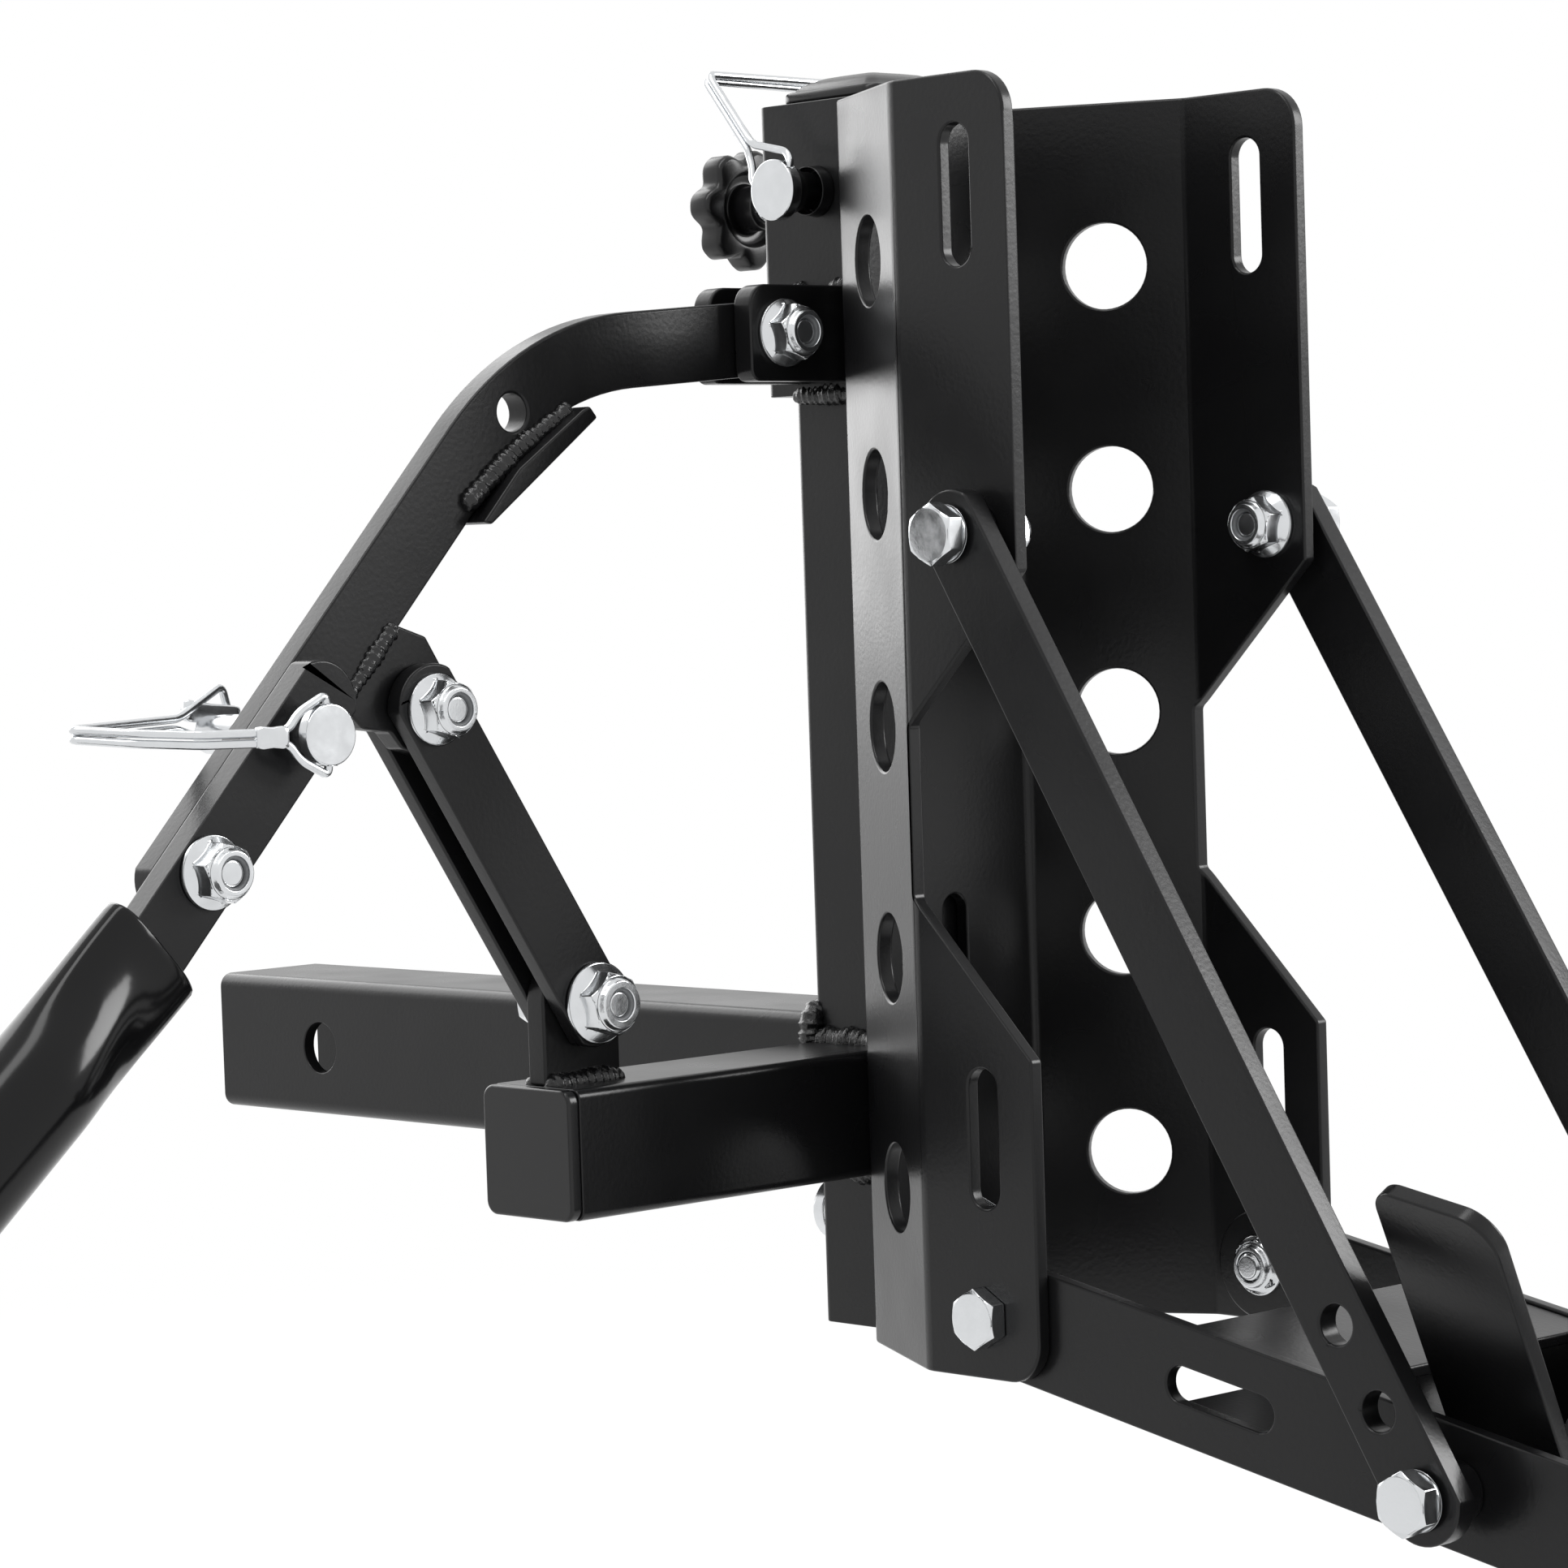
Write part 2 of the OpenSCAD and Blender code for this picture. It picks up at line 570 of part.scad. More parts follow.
// Sliding sleeve with its clevis, knob and lock pin
module sleeve() color(black) at_mast() difference() {
  translate([0, 0, sleeve_z]) linear_extrude(sleeve_h) difference() {
    intersection() {
      rsquare(sleeve_w, 3.5);
      translate([-sh - 1, -sh - 1]) square([sh + 1 + web_x, sleeve_w + 2]);
    }
    translate([-sleeve_in, -sleeve_in]) square([sleeve_in + 40, 2 * sleeve_in]);
  }
  ycyl(-sh - 2, sh + 2, lock_pin_d / 2 + 0.3, 0, lock_z);
  xcyl(-sh - 2, 0, hole_r, 0, lock_z);
}
module clevis_shape() difference() {
  hull() {
    translate([-sh - 2, a_z - 15.4]) square([2, 31]);
    translate([-71.5 + 7, a_z + 8.6]) circle(r = 7);
    translate([-71.5 + 4, a_z - 11.4]) circle(r = 4);
  }
  translate([a_y, a_z]) circle(r = hole_r);
}
module clevis_front() color(black) at_mast() yz(clevis_in, clevis_out) clevis_shape();
module clevis_rear() color(black) at_mast() yz(-clevis_out, -clevis_in) clevis_shape();
module clevis_bolt() color(zinc) at_mast()
  bolt_x(-clevis_out, a_y, a_z, 2 * clevis_out + nut_h + bolt_tip);
module clevis_nut() color(zinc) at_mast() nut_x(clevis_out, a_y, a_z);
module knob_boss() color(black) at_mast() difference() {
  xcyl(-sh - 9, -sh, 10, 0, lock_z);
  xcyl(-sh - 10, -sh + 1, hole_r - 0.02, 0, lock_z);
}
module star_knob() color(plastic) at_mast() {
  difference() {
    yz(-knob_x, -knob_x + knob_t) translate([0, lock_z]) offset(r = -2.4) offset(r = 2.4) {
      circle(d = knob_d * 0.74);
      for (i = [0 : 6]) rotate(i * 360 / 7 + 12) translate([knob_d / 2 - 5.1, 0]) circle(r = 5.1);
    }
    translate([-knob_x + knob_t - 4, 0, lock_z]) rotate([0, 90, 0]) difference() {
      cylinder(h = 5, r = 12.6);
      cylinder(h = 11, r = 7.6, center = true);
      for (i = [0 : 6]) rotate(i * 360 / 7) translate([0, -0.8, -1]) cube([14, 1.6, 8]);
    }
  }
  xcyl(-knob_x + knob_t - 4, -knob_x + knob_t + 7, 7.6, 0, lock_z);
  xcyl(-knob_x + 5, -mh - 0.4, bolt_r, 0, lock_z);
}
module pin_boss() color(black) at_mast() difference() {
  ycyl(-sh - 5, -sh, 9, 0, lock_z);
  ycyl(-sh - 6, -sh + 1, lock_pin_d / 2 + 0.08, 0, lock_z);
}
module height_pin() color(zinc) at_mast() difference() {
  union() {
    ycyl(-sh - 20.5, -sh - 16, lock_head_d / 2, 0, lock_z);
    ycyl(-sh - 17, -mh - 0.4, lock_pin_d / 2, 0, lock_z);
  }
  translate([0, -head_y, lock_z]) rotate([0, bail_deg, 0]) cylinder(h = 40, d = wire_d + 0.6, center = true);
}
module height_pin_bail() color(zinc) at_mast() {
  y = -head_y;
  z = lock_z;
  wire([[2.4, y, z + 3.2], [8.2, y, z + 10.9], [6, y + 0.4, z + 13.2], [-15, y + 2, z + 16.8],
    [-36, y + 3, z + 40.4], [-36.6, y + 8, z + 41.6], [-36.6, sh + 11, z + 41.6], [-35, sh + 13, z + 40],
    [-16, sh + 12, z + 16], [-3, sh + 11, z + 6]], wire_d);
  wire([[-2.4, y, z - 3.2], [-8.6, y, z - 11.4], [-12, y + 0.4, z - 9.6], [-19, y + 2, z + 12],
    [-38.4, y + 3, z + 38], [-39, y + 8, z + 39.2], [-39, sh + 11, z + 39.2], [-37.4, sh + 13, z + 37.6],
    [-18.4, sh + 12, z + 13.6], [-5.4, sh + 11, z + 3.6]], wire_d);
}

// Cradle back, one formed plate
module back_fill() offset(r = bend_r) offset(delta = -bend_r) polygon([[web_x, -web_w / 2],
  [flange_x, -fh], [edge_x + 60, -fh], [edge_x + 60, fh], [flange_x, fh], [web_x, web_w / 2]]);
module back_profile() intersection() {
  difference() {
    back_fill();
    offset(delta = -back_t) back_fill();
  }
  translate([0, -fh - 1]) square([edge_x, flange_w + 2]);
}
module side_cuts() {
  polygon([[edge_x + 1, waist_z1], [edge_x, waist_z1], [waist_x, waist_z2], [waist_x, waist_z3],
    [edge_x, waist_z4], [edge_x + 1, waist_z4]]);
  for (z = [slot_top_z, slot_low_z]) translate([slot_x, z]) rotate(90) slot2d(slot_len, slot_w);
  translate([brace_x, brace_z]) circle(r = hole_r);
  translate([tray_x, tray_z]) circle(r = hole_r);
  translate([edge_x - corner_r, back_top - corner_r]) difference() {
    square(corner_r + 1);
    circle(r = corner_r);
  }
  translate([edge_x - corner_r, corner_r - back_foot]) difference() {
    translate([0, -corner_r - 1]) square(corner_r + 1);
    circle(r = corner_r);
  }
}
module cradle_back() color(black) at_mast() difference() {
  translate([0, 0, -back_foot]) linear_extrude(back_foot + back_top) back_profile();
  xz(-fh - 5, fh + 5) side_cuts();
  for (s = [-1, 1], i = [0 : 4])
    translate([light_x, s * (web_w / 2 + face_k * (light_x - web_x)), light_z - i * light_pitch])
      rotate([0, 0, -s * (90 - face_deg) + (s < 0 ? 180 : 180)]) rotate([0, 90, 0])
      cylinder(h = 30, d = light_d, center = true);
  translate([0, 0, lift / 2 - guide_z]) yz(web_x - 3, web_x + back_t + 3) rotate(90)
    slot2d(lift + guide_slot_w + 6, guide_slot_w);
}

// Side braces
module in_brace() translate([brace_x, brace_z]) rotate(brace_deg) children();
module brace_plate() in_brace() {
  translate([0, -bar_w / 2]) square([brace_run, bar_w]);
  for (run = [0, brace_run]) translate([run, 0]) intersection() {
    circle(r = end_r);
    square([40, bar_w], center = true);
  }
}
module brace_holes() in_brace() {
  circle(r = hole_r);
  translate([brace_run, 0]) circle(r = hole_r);
}
module brace(side) color(black) at_mast() difference() {
  union() {
    if (side > 0) xz(brace_y, brace_y + brace_t) brace_plate();
    else xz(-brace_y - brace_t, -brace_y) brace_plate();
    spacer(side, fh, brace_x, brace_z);
    spacer(side, tray_y, foot_x, foot_z);
  }
  xz(-brace_y - 20, brace_y + 20) brace_holes();
  xz(-brace_y - 20, brace_y + 20) in_brace() for (i = [1 : 2])
    translate([brace_run - i * adjust_pitch, 0]) circle(r = 5.9);
}
module spacer(side, y0, x, z) ycyl(side > 0 ? y0 : -brace_y - 3, side > 0 ? brace_y + 3 : -y0, 9, x, z);
module brace_near() brace(-1);
module brace_far() brace(1);
module brace_bolt(side) color(zinc) at_mast()
  bolt_y(side, brace_y + brace_t + washer_t, brace_x, brace_z,
    brace_t + washer_t + brace_gap + back_t + nut_h + bolt_tip, washer_t);
module brace_bolt_near() brace_bolt(-1);
module brace_bolt_far() brace_bolt(1);
module brace_nut_near() color(zinc) at_mast() nut_y(-1, fh - back_t, brace_x, brace_z);
module brace_nut_far() color(zinc) at_mast() nut_y(1, fh - back_t, brace_x, brace_z);

// Wheel tray
module in_tray() translate([tray_x, 0, tray_z]) rotate([0, tray_deg, 0]) children();
module tray_side_shape() difference() {
  union() {
    translate([0, -tray_h / 2]) offset(r = 3) offset(delta = -3) square([tray_len, tray_h]);
    circle(r = tray_h / 2);
    translate([0, -tray_h / 2]) square([20, tray_h]);
  }
  circle(r = hole_r);
  translate([tray_bolt_s, 0]) circle(r = hole_r);
  translate([tray_slot_s, 0]) slot2d(tray_slot_len, tray_slot_w);
  translate([tray_len - 60, 0]) slot2d(tray_slot_len, tray_slot_w);
}
module tray_side_near() color(black) at_mast() in_tray() xz(-tray_y, -tray_y + tray_t) tray_side_shape();
module tray_side_far() color(black) at_mast() in_tray() xz(tray_y - tray_t, tray_y) tray_side_shape();
module tray_bolt(side) color(zinc) at_mast()
  bolt_y(side, fh, tray_x, tray_z, fh - tray_y + tray_t + low_nut_h + 0.8);
module tray_bolt_near() tray_bolt(-1);
module tray_bolt_far() tray_bolt(1);
module tray_nut_near() color(zinc) at_mast() nut_y(-1, tray_y - tray_t, tray_x, tray_z, 20, low_nut_h);
module tray_nut_far() color(zinc) at_mast() nut_y(1, tray_y - tray_t, tray_x, tray_z, 20, low_nut_h);
module foot_bolt(side) color(zinc) at_mast()
  bolt_y(side, brace_y + brace_t + washer_t, foot_x, foot_z,
    brace_y + brace_t + washer_t - tray_y + tray_t + nut_h + bolt_tip, washer_t);
module foot_bolt_near() foot_bolt(-1);
module foot_bolt_far() foot_bolt(1);
module foot_nut_near() color(zinc) at_mast() nut_y(-1, tray_y - tray_t, foot_x, foot_z);
module foot_nut_far() color(zinc) at_mast() nut_y(1, tray_y - tray_t, foot_x, foot_z);
module tray_cross() color(black) at_mast() in_tray()
  translate([73.8, -tray_y + tray_t, tray_h / 2 - 5]) cube([60, 2 * (tray_y - tray_t), 4]);
module tray_floor() color(black) at_mast() in_tray()
  translate([60, -tray_y + tray_t, 1 - tray_h / 2]) cube([142, 2 * (tray_y - tray_t), 4]);
module tray_end() color(black) at_mast() in_tray()
  translate([tray_len - 8, -tray_y + tray_t, 1 - tray_h / 2]) cube([5, 2 * (tray_y - tray_t), tray_h - 2]);
module guide_section() {
  foot = 5 - tray_h / 2;
  foot_y = guide_y - (guide_h - foot) * tan(guide_deg);
  top = [guide_y, guide_h] + guide_up * [sin(guide_deg), cos(guide_deg)];
  polygon([[foot_y, foot], top, top + guide_t * [-cos(guide_deg), sin(guide_deg)],
    [foot_y - guide_t / cos(guide_deg), foot]]);
}
module guide_corner(r) translate([0, 0, -20]) linear_extrude(40) difference() {
  translate([-1, -r]) square([r + 1, r + 1]);
  translate([r, -r]) circle(r = r);
}
module guide_plate() difference() {
  translate([guide_s, 0, 0]) rotate([90, 0, 90]) linear_extrude(guide_len) guide_section();
  translate([guide_s, guide_y, guide_h]) rotate([90 - guide_deg, 0, 0])
    translate([0, guide_up, 0]) guide_corner(8);
  translate([guide_s + guide_len, guide_y, guide_h]) rotate([90 - guide_deg, 0, 0])
    translate([0, guide_up, 0]) mirror([1, 0, 0]) guide_corner(12);
}
module wheel_guide_near() color(black) at_mast() in_tray() mirror([0, 1, 0]) guide_plate();
module wheel_guide_far() color(black) at_mast() in_tray() guide_plate();

hitch_shank();
side_arm();
mast_tube();
arm_end_cap();
mast_top_cap();
pivot_post();
guide_bolt();
guide_nut();
post_bolt();
post_nut();
link_front();
link_rear();
link_bolt();
link_nut();
lever_bar();
lever_lug();
stop_plate();
handle_bolt();
handle_nut();
handle_bar();
handle_tube();
handle_grip();
lever_pin();
lever_pin_bail();
sleeve();
clevis_front();
clevis_rear();
clevis_bolt();
clevis_nut();
knob_boss();
star_knob();
pin_boss();
height_pin();
height_pin_bail();
cradle_back();
brace_near();
brace_far();
brace_bolt_near();
brace_bolt_far();
brace_nut_near();
brace_nut_far();
tray_side_near();
tray_side_far();
tray_bolt_near();
tray_bolt_far();
tray_nut_near();
tray_nut_far();
foot_bolt_near();
foot_bolt_far();
foot_nut_near();
foot_nut_far();
tray_cross();
tray_floor();
tray_end();
wheel_guide_near();
wheel_guide_far();
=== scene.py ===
"""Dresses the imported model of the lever-lift wheel carrier: rounded coated steel, plated
fasteners and pins, weld beads, moulded caps, and the studio it stands in."""
import json
import math

import bmesh
import bpy
from bpy.props import FloatProperty, FloatVectorProperty, PointerProperty
from mathutils import Matrix, Vector, noise


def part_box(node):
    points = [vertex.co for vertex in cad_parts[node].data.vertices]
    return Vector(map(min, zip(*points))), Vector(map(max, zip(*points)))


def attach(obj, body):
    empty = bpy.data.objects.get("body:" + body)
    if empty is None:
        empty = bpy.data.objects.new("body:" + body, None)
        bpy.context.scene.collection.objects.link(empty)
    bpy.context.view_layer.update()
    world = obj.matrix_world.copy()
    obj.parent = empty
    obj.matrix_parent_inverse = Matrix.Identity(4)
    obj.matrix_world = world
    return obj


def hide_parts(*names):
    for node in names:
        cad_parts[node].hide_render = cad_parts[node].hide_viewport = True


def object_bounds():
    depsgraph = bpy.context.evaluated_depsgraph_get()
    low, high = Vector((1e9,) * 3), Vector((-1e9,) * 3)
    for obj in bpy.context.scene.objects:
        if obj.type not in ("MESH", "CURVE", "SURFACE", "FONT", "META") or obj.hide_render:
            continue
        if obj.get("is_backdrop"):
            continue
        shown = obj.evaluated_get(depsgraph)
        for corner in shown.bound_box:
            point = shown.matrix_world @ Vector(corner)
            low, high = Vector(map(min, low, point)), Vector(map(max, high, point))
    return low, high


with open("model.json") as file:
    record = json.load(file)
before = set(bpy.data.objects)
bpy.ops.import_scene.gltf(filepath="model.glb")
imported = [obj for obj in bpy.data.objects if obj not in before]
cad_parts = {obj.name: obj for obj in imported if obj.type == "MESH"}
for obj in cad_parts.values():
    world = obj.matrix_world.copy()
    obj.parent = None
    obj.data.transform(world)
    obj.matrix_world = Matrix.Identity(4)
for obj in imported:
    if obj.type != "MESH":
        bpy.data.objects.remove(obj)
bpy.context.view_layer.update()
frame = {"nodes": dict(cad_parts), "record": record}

bl_info = {
    "name": "Wheel carrier dressing",
    "version": (1, 0, 0),
    "blender": (4, 5, 0),
    "location": "3D View > Sidebar > Carrier",
    "description": "Builds the shown pieces of the wheel carrier over its packed model",
    "category": "Object",
}

BODY_OF = {node: body for body, nodes in frame["record"]["behaviour"]["bodies"].items()
           for node in nodes}

# Axis of the mast, along X from the hitch pin hole
MAST_MM = 282
MAST = MAST_MM / 1000

# Middle line of the wheel tray: where it starts, in mm, and its slope
TRAY_START_X = 384.6
TRAY_START_Z = -59.7
TRAY_SLOPE = math.radians(10.5)

# Bolts: head over the flats, head height, shank, washer and length of thread, in mm
HEAD_FLATS = 17
HEAD_HEIGHT = 6.4
BOLT_RADIUS = 4.95
WASHER_RADIUS = 9
THREAD_RUN = 9


def linear(code):
    """The linear RGB of an sRGB hex colour."""
    parts = [int(code[i:i + 2], 16) / 255 for i in (0, 2, 4)]
    return tuple(p / 12.92 if p <= 0.04045 else ((p + 0.055) / 1.055) ** 2.4 for p in parts)


def add_node(tree, kind, inputs=None, **settings):
    """Adds a shader node with its settings, and sets or links its inputs."""
    node = tree.nodes.new("ShaderNode" + kind)
    for key, value in settings.items():
        setattr(node, key, value)
    for key, value in (inputs or {}).items():
        if isinstance(value, bpy.types.NodeSocket):
            tree.links.new(value, node.inputs[key])
        else:
            node.inputs[key].default_value = value
    return node


def finish(build):
    """The material that a function builds, made once and named after the function."""
    material = bpy.data.materials.get(build.__name__)
    if material is None:
        material = bpy.data.materials.new(build.__name__)
        material.use_nodes = True
        material.node_tree.nodes.clear()
        build(material.node_tree, bpy.context.scene.carrier_colours)
    return material


def uneven_colour(tree, colour, spread, patch, detail):
    """Place, pattern and colour of a surface that turns a spread darker and lighter in
    patches, whose size is in metres."""
    darker, lighter = [tuple(c * k for c in colour) + (1,) for k in (1 - spread, 1 + spread)]
    place = add_node(tree, "TexCoord").outputs["Object"]
    pattern = add_node(tree, "TexNoise", {"Vector": place, "Scale": 1 / patch,
                                          "Detail": detail}).outputs["Fac"]
    shade = add_node(tree, "Mix", {"Factor": pattern, "A": darker, "B": lighter},
                     data_type="RGBA")
    return place, pattern, shade.outputs["Result"]


def relief(tree, place, grain, detail, strength, depth):
    """The normals of a surface with bumps, whose size and depth are in metres."""
    bumps = add_node(tree, "TexNoise", {"Vector": place, "Scale": 1 / grain, "Detail": detail})
    return add_node(tree, "Bump", {"Height": bumps.outputs["Fac"], "Strength": strength,
                                   "Distance": depth}).outputs["Normal"]


def give_surface(tree, looks):
    """Ends a material in one surface of the given looks."""
    surface = add_node(tree, "BsdfPrincipled", looks)
    add_node(tree, "OutputMaterial", {"Surface": surface.outputs["BSDF"]})


def seen_directly(tree):
    """One for rays of the camera and rays mirrored or bent on their way, or else zero."""
    path = add_node(tree, "LightPath")
    seen = add_node(tree, "Math", {0: path.outputs["Is Camera Ray"],
                                   1: path.outputs["Is Glossy Ray"]}, operation="MAXIMUM")
    return add_node(tree, "Math", {0: seen.outputs[0], 1: path.outputs["Is Transmission Ray"]},
                    operation="MAXIMUM").outputs[0]


# Sizes and colours

class CarrierSizes(bpy.types.PropertyGroup):
    """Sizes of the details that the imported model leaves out."""
    plate_round: FloatProperty(
        name="Plate edge", description="Rounding of the cut edges of plates and flat bars",
        default=0.0009, min=0.0002, max=0.002, precision=4, unit="LENGTH")
    tube_round: FloatProperty(
        name="Tube edge", description="Rounding of the sawn ends of the tubes",
        default=0.0005, min=0.0001, max=0.002, precision=4, unit="LENGTH")
    metal_round: FloatProperty(
        name="Fastener edge", description="Rounding of the edges of bolts, nuts and pins",
        default=0.00035, min=0.0001, max=0.001, precision=5, unit="LENGTH")
    plastic_round: FloatProperty(
        name="Moulded edge", description="Rounding of the edges of caps, knob and grip",
        default=0.0011, min=0.0002, max=0.003, precision=4, unit="LENGTH")
    bead_radius: FloatProperty(
        name="Weld bead", description="Radius of the larger weld beads",
        default=0.0038, min=0.001, max=0.006, precision=4, unit="LENGTH")
    ripple_pitch: FloatProperty(
        name="Weld ripple", description="Distance from one ripple of a weld bead to the next",
        default=0.0026, min=0.001, max=0.006, precision=4, unit="LENGTH")
    wire_thick: FloatProperty(
        name="Bail wire", description="Diameter of the wire of the two pin bails",
        default=0.0026, min=0.001, max=0.004, precision=4, unit="LENGTH")
    bolt_inset: FloatProperty(
        name="Bolt inset", description="How far a bolt end is drawn back into its lock nut",
        default=0.0032, min=0.0, max=0.005, precision=4, unit="LENGTH")
    thread_pitch: FloatProperty(
        name="Thread pitch", description="Pitch of the bolt threads",
        default=0.0015, min=0.001, max=0.002, precision=4, unit="LENGTH")
    floor_drop: FloatProperty(
        name="Floor drop", description="How far the floor lies under the lowest piece",
        default=0.05, min=0.0, max=0.3, unit="LENGTH")


class CarrierColours(bpy.types.PropertyGroup):
    """Base colours of the finishes."""
    coat: FloatVectorProperty(
        name="Satin coat", description="Satin black powder coat on the steel",
        default=linear("131314"), size=3, min=0, max=1, subtype="COLOR")
    gloss: FloatVectorProperty(
        name="Gloss coat", description="Gloss black powder coat on the handle tube",
        default=linear("0a0a0b"), size=3, min=0, max=1, subtype="COLOR")
    zinc: FloatVectorProperty(
        name="Zinc", description="Bright zinc plate on fasteners, pins and bails",
        default=linear("d6d8da"), size=3, min=0, max=1, subtype="COLOR")
    plastic: FloatVectorProperty(
        name="Plastic", description="Moulded black plastic of the caps and the knob",
        default=linear("141415"), size=3, min=0, max=1, subtype="COLOR")
    rubber: FloatVectorProperty(
        name="Rubber", description="Black rubber of the hand grip",
        default=linear("161616"), size=3, min=0, max=1, subtype="COLOR")
    insert: FloatVectorProperty(
        name="Nut insert", description="Nylon ring inside the lock nuts",
        default=linear("6c6e70"), size=3, min=0, max=1, subtype="COLOR")
    floor: FloatVectorProperty(
        name="Floor", description="Plain pale floor of the studio",
        default=linear("f6f6f6"), size=3, min=0, max=1, subtype="COLOR")


class CarrierCamera(bpy.types.PropertyGroup):
    """Where the camera stands and how it looks."""
    place: FloatVectorProperty(
        name="Place", description="Position of the camera, from the middle of the hitch pin hole",
        default=(1.41281, -1.13193, 0.17861), size=3, subtype="TRANSLATION", unit="LENGTH")
    yaw: FloatProperty(
        name="Yaw", description="Turn of the view from +Y towards -X",
        default=math.radians(47.136), subtype="ANGLE", unit="ROTATION")
    pitch: FloatProperty(
        name="Pitch", description="Lift of the view over the horizontal",
        default=math.radians(-3.476), subtype="ANGLE", unit="ROTATION")
    roll: FloatProperty(
        name="Roll", description="Turn of the camera about its own view",
        default=math.radians(-1.956), subtype="ANGLE", unit="ROTATION")
    lens: FloatProperty(
        name="Lens", description="Focal length on a 36 mm wide sensor",
        default=110.35, min=20, max=300, subtype="DISTANCE_CAMERA")
    shift: FloatVectorProperty(
        name="Shift", description="Shift of the picture in parts of its width",
        default=(0.0442, 0.0403), size=2)


# Materials

def satin_black_powder_coat(tree, colours):
    """Polyester powder, sprayed on steel and baked: near black, satin, with the soft
    orange peel that breaks up long highlights and a sheen that differs from place to place."""
    # Patches 40 mm across, as the spray builds up unevenly
    place, patches, shade = uneven_colour(tree, colours.coat, 0.18, 0.040, 2.0)
    sheen = add_node(tree, "MapRange", {"Value": patches, "From Min": 0.3, "From Max": 0.7,
                                        "To Min": 0.25, "To Max": 0.33})
    # Orange peel, waves 1.6 mm long
    peel = relief(tree, place, 0.0016, 1.5, 0.5, 0.00009)
    give_surface(tree, {"Base Color": shade, "Roughness": sheen.outputs["Result"],
                        "IOR": 1.36, "Normal": peel})


def gloss_black_powder_coat(tree, colours):
    """The same powder in a gloss grade on drawn tube: deep black with a clear, slightly
    wavy mirror of the lights."""
    # Patches 60 mm across
    place, patches, shade = uneven_colour(tree, colours.gloss, 0.15, 0.060, 1.0)
    sheen = add_node(tree, "MapRange", {"Value": patches, "From Min": 0.3, "From Max": 0.7,
                                        "To Min": 0.13, "To Max": 0.18})
    # Flow waves 4 mm long along the tube
    waves = relief(tree, place, 0.004, 1.0, 0.25, 0.0001)
    give_surface(tree, {"Base Color": shade, "Roughness": sheen.outputs["Result"],
                        "IOR": 1.33, "Normal": waves})


def powder_coated_weld(tree, colours):
    """Wire-welded bead under the same powder: the coat runs thicker over the ripples, so
    they stand out as bright crests over black hollows, with small spatter."""
    # Spatter and scale, grains about 1 mm across, in the colour and in the relief
    grain = 0.001
    place, _, shade = uneven_colour(tree, colours.coat, 0.25, grain, 3.0)
    spatter = relief(tree, place, grain, 3.0, 0.7, 0.0004)
    give_surface(tree, {"Base Color": shade, "Roughness": 0.2, "IOR": 1.5, "Normal": spatter})


def bright_zinc_plate(tree, colours):
    """Steel, machined and electroplated with bright zinc: a pale metal with a slightly
    cloudy mirror, finely rubbed, and a little duller in places."""
    # Clouds 5 mm across in the plating
    place, clouds, shade = uneven_colour(tree, colours.zinc, 0.06, 0.005, 3.0)
    sheen = add_node(tree, "MapRange", {"Value": clouds, "From Min": 0.3, "From Max": 0.7,
                                        "To Min": 0.14, "To Max": 0.26})
    # Rub marks of the plating drum, about 0.7 mm apart
    marks = relief(tree, place, 0.0007, 2.0, 0.3, 0.00005)
    give_surface(tree, {"Base Color": shade, "Roughness": sheen.outputs["Result"],
                        "Metallic": 1.0, "Normal": marks})


def moulded_black_polypropylene(tree, colours):
    """Injection-moulded black plastic from a spark-eroded mould: an even satin with a
    fine grain."""
    # Mould grain 0.5 mm wide, in the colour and in the relief
    grain = 0.0005
    place, _, shade = uneven_colour(tree, colours.plastic, 0.12, grain, 2.0)
    pits = relief(tree, place, grain, 2.0, 0.35, 0.00006)
    give_surface(tree, {"Base Color": shade, "Roughness": 0.27, "IOR": 1.42, "Normal": pits})


def moulded_black_rubber(tree, colours):
    """Compression-moulded rubber of the hand grip: matt, with a dusty bloom on a fine
    grain."""
    # Bloom in patches 12 mm across
    place, _, shade = uneven_colour(tree, colours.rubber, 0.3, 0.012, 4.0)
    # Grain 0.8 mm wide
    grain = relief(tree, place, 0.0008, 2.0, 0.5, 0.00012)
    give_surface(tree, {"Base Color": shade, "Roughness": 0.66, "IOR": 1.52, "Normal": grain})


def nylon_lock_ring(tree, colours):
    """Moulded nylon ring pressed into a lock nut: waxy grey, a little uneven where the
    thread has cut it."""
    # Scuffs 1.5 mm across
    _, _, shade = uneven_colour(tree, colours.insert, 0.2, 0.0015, 2.0)
    give_surface(tree, {"Base Color": shade, "Roughness": 0.38, "IOR": 1.53})


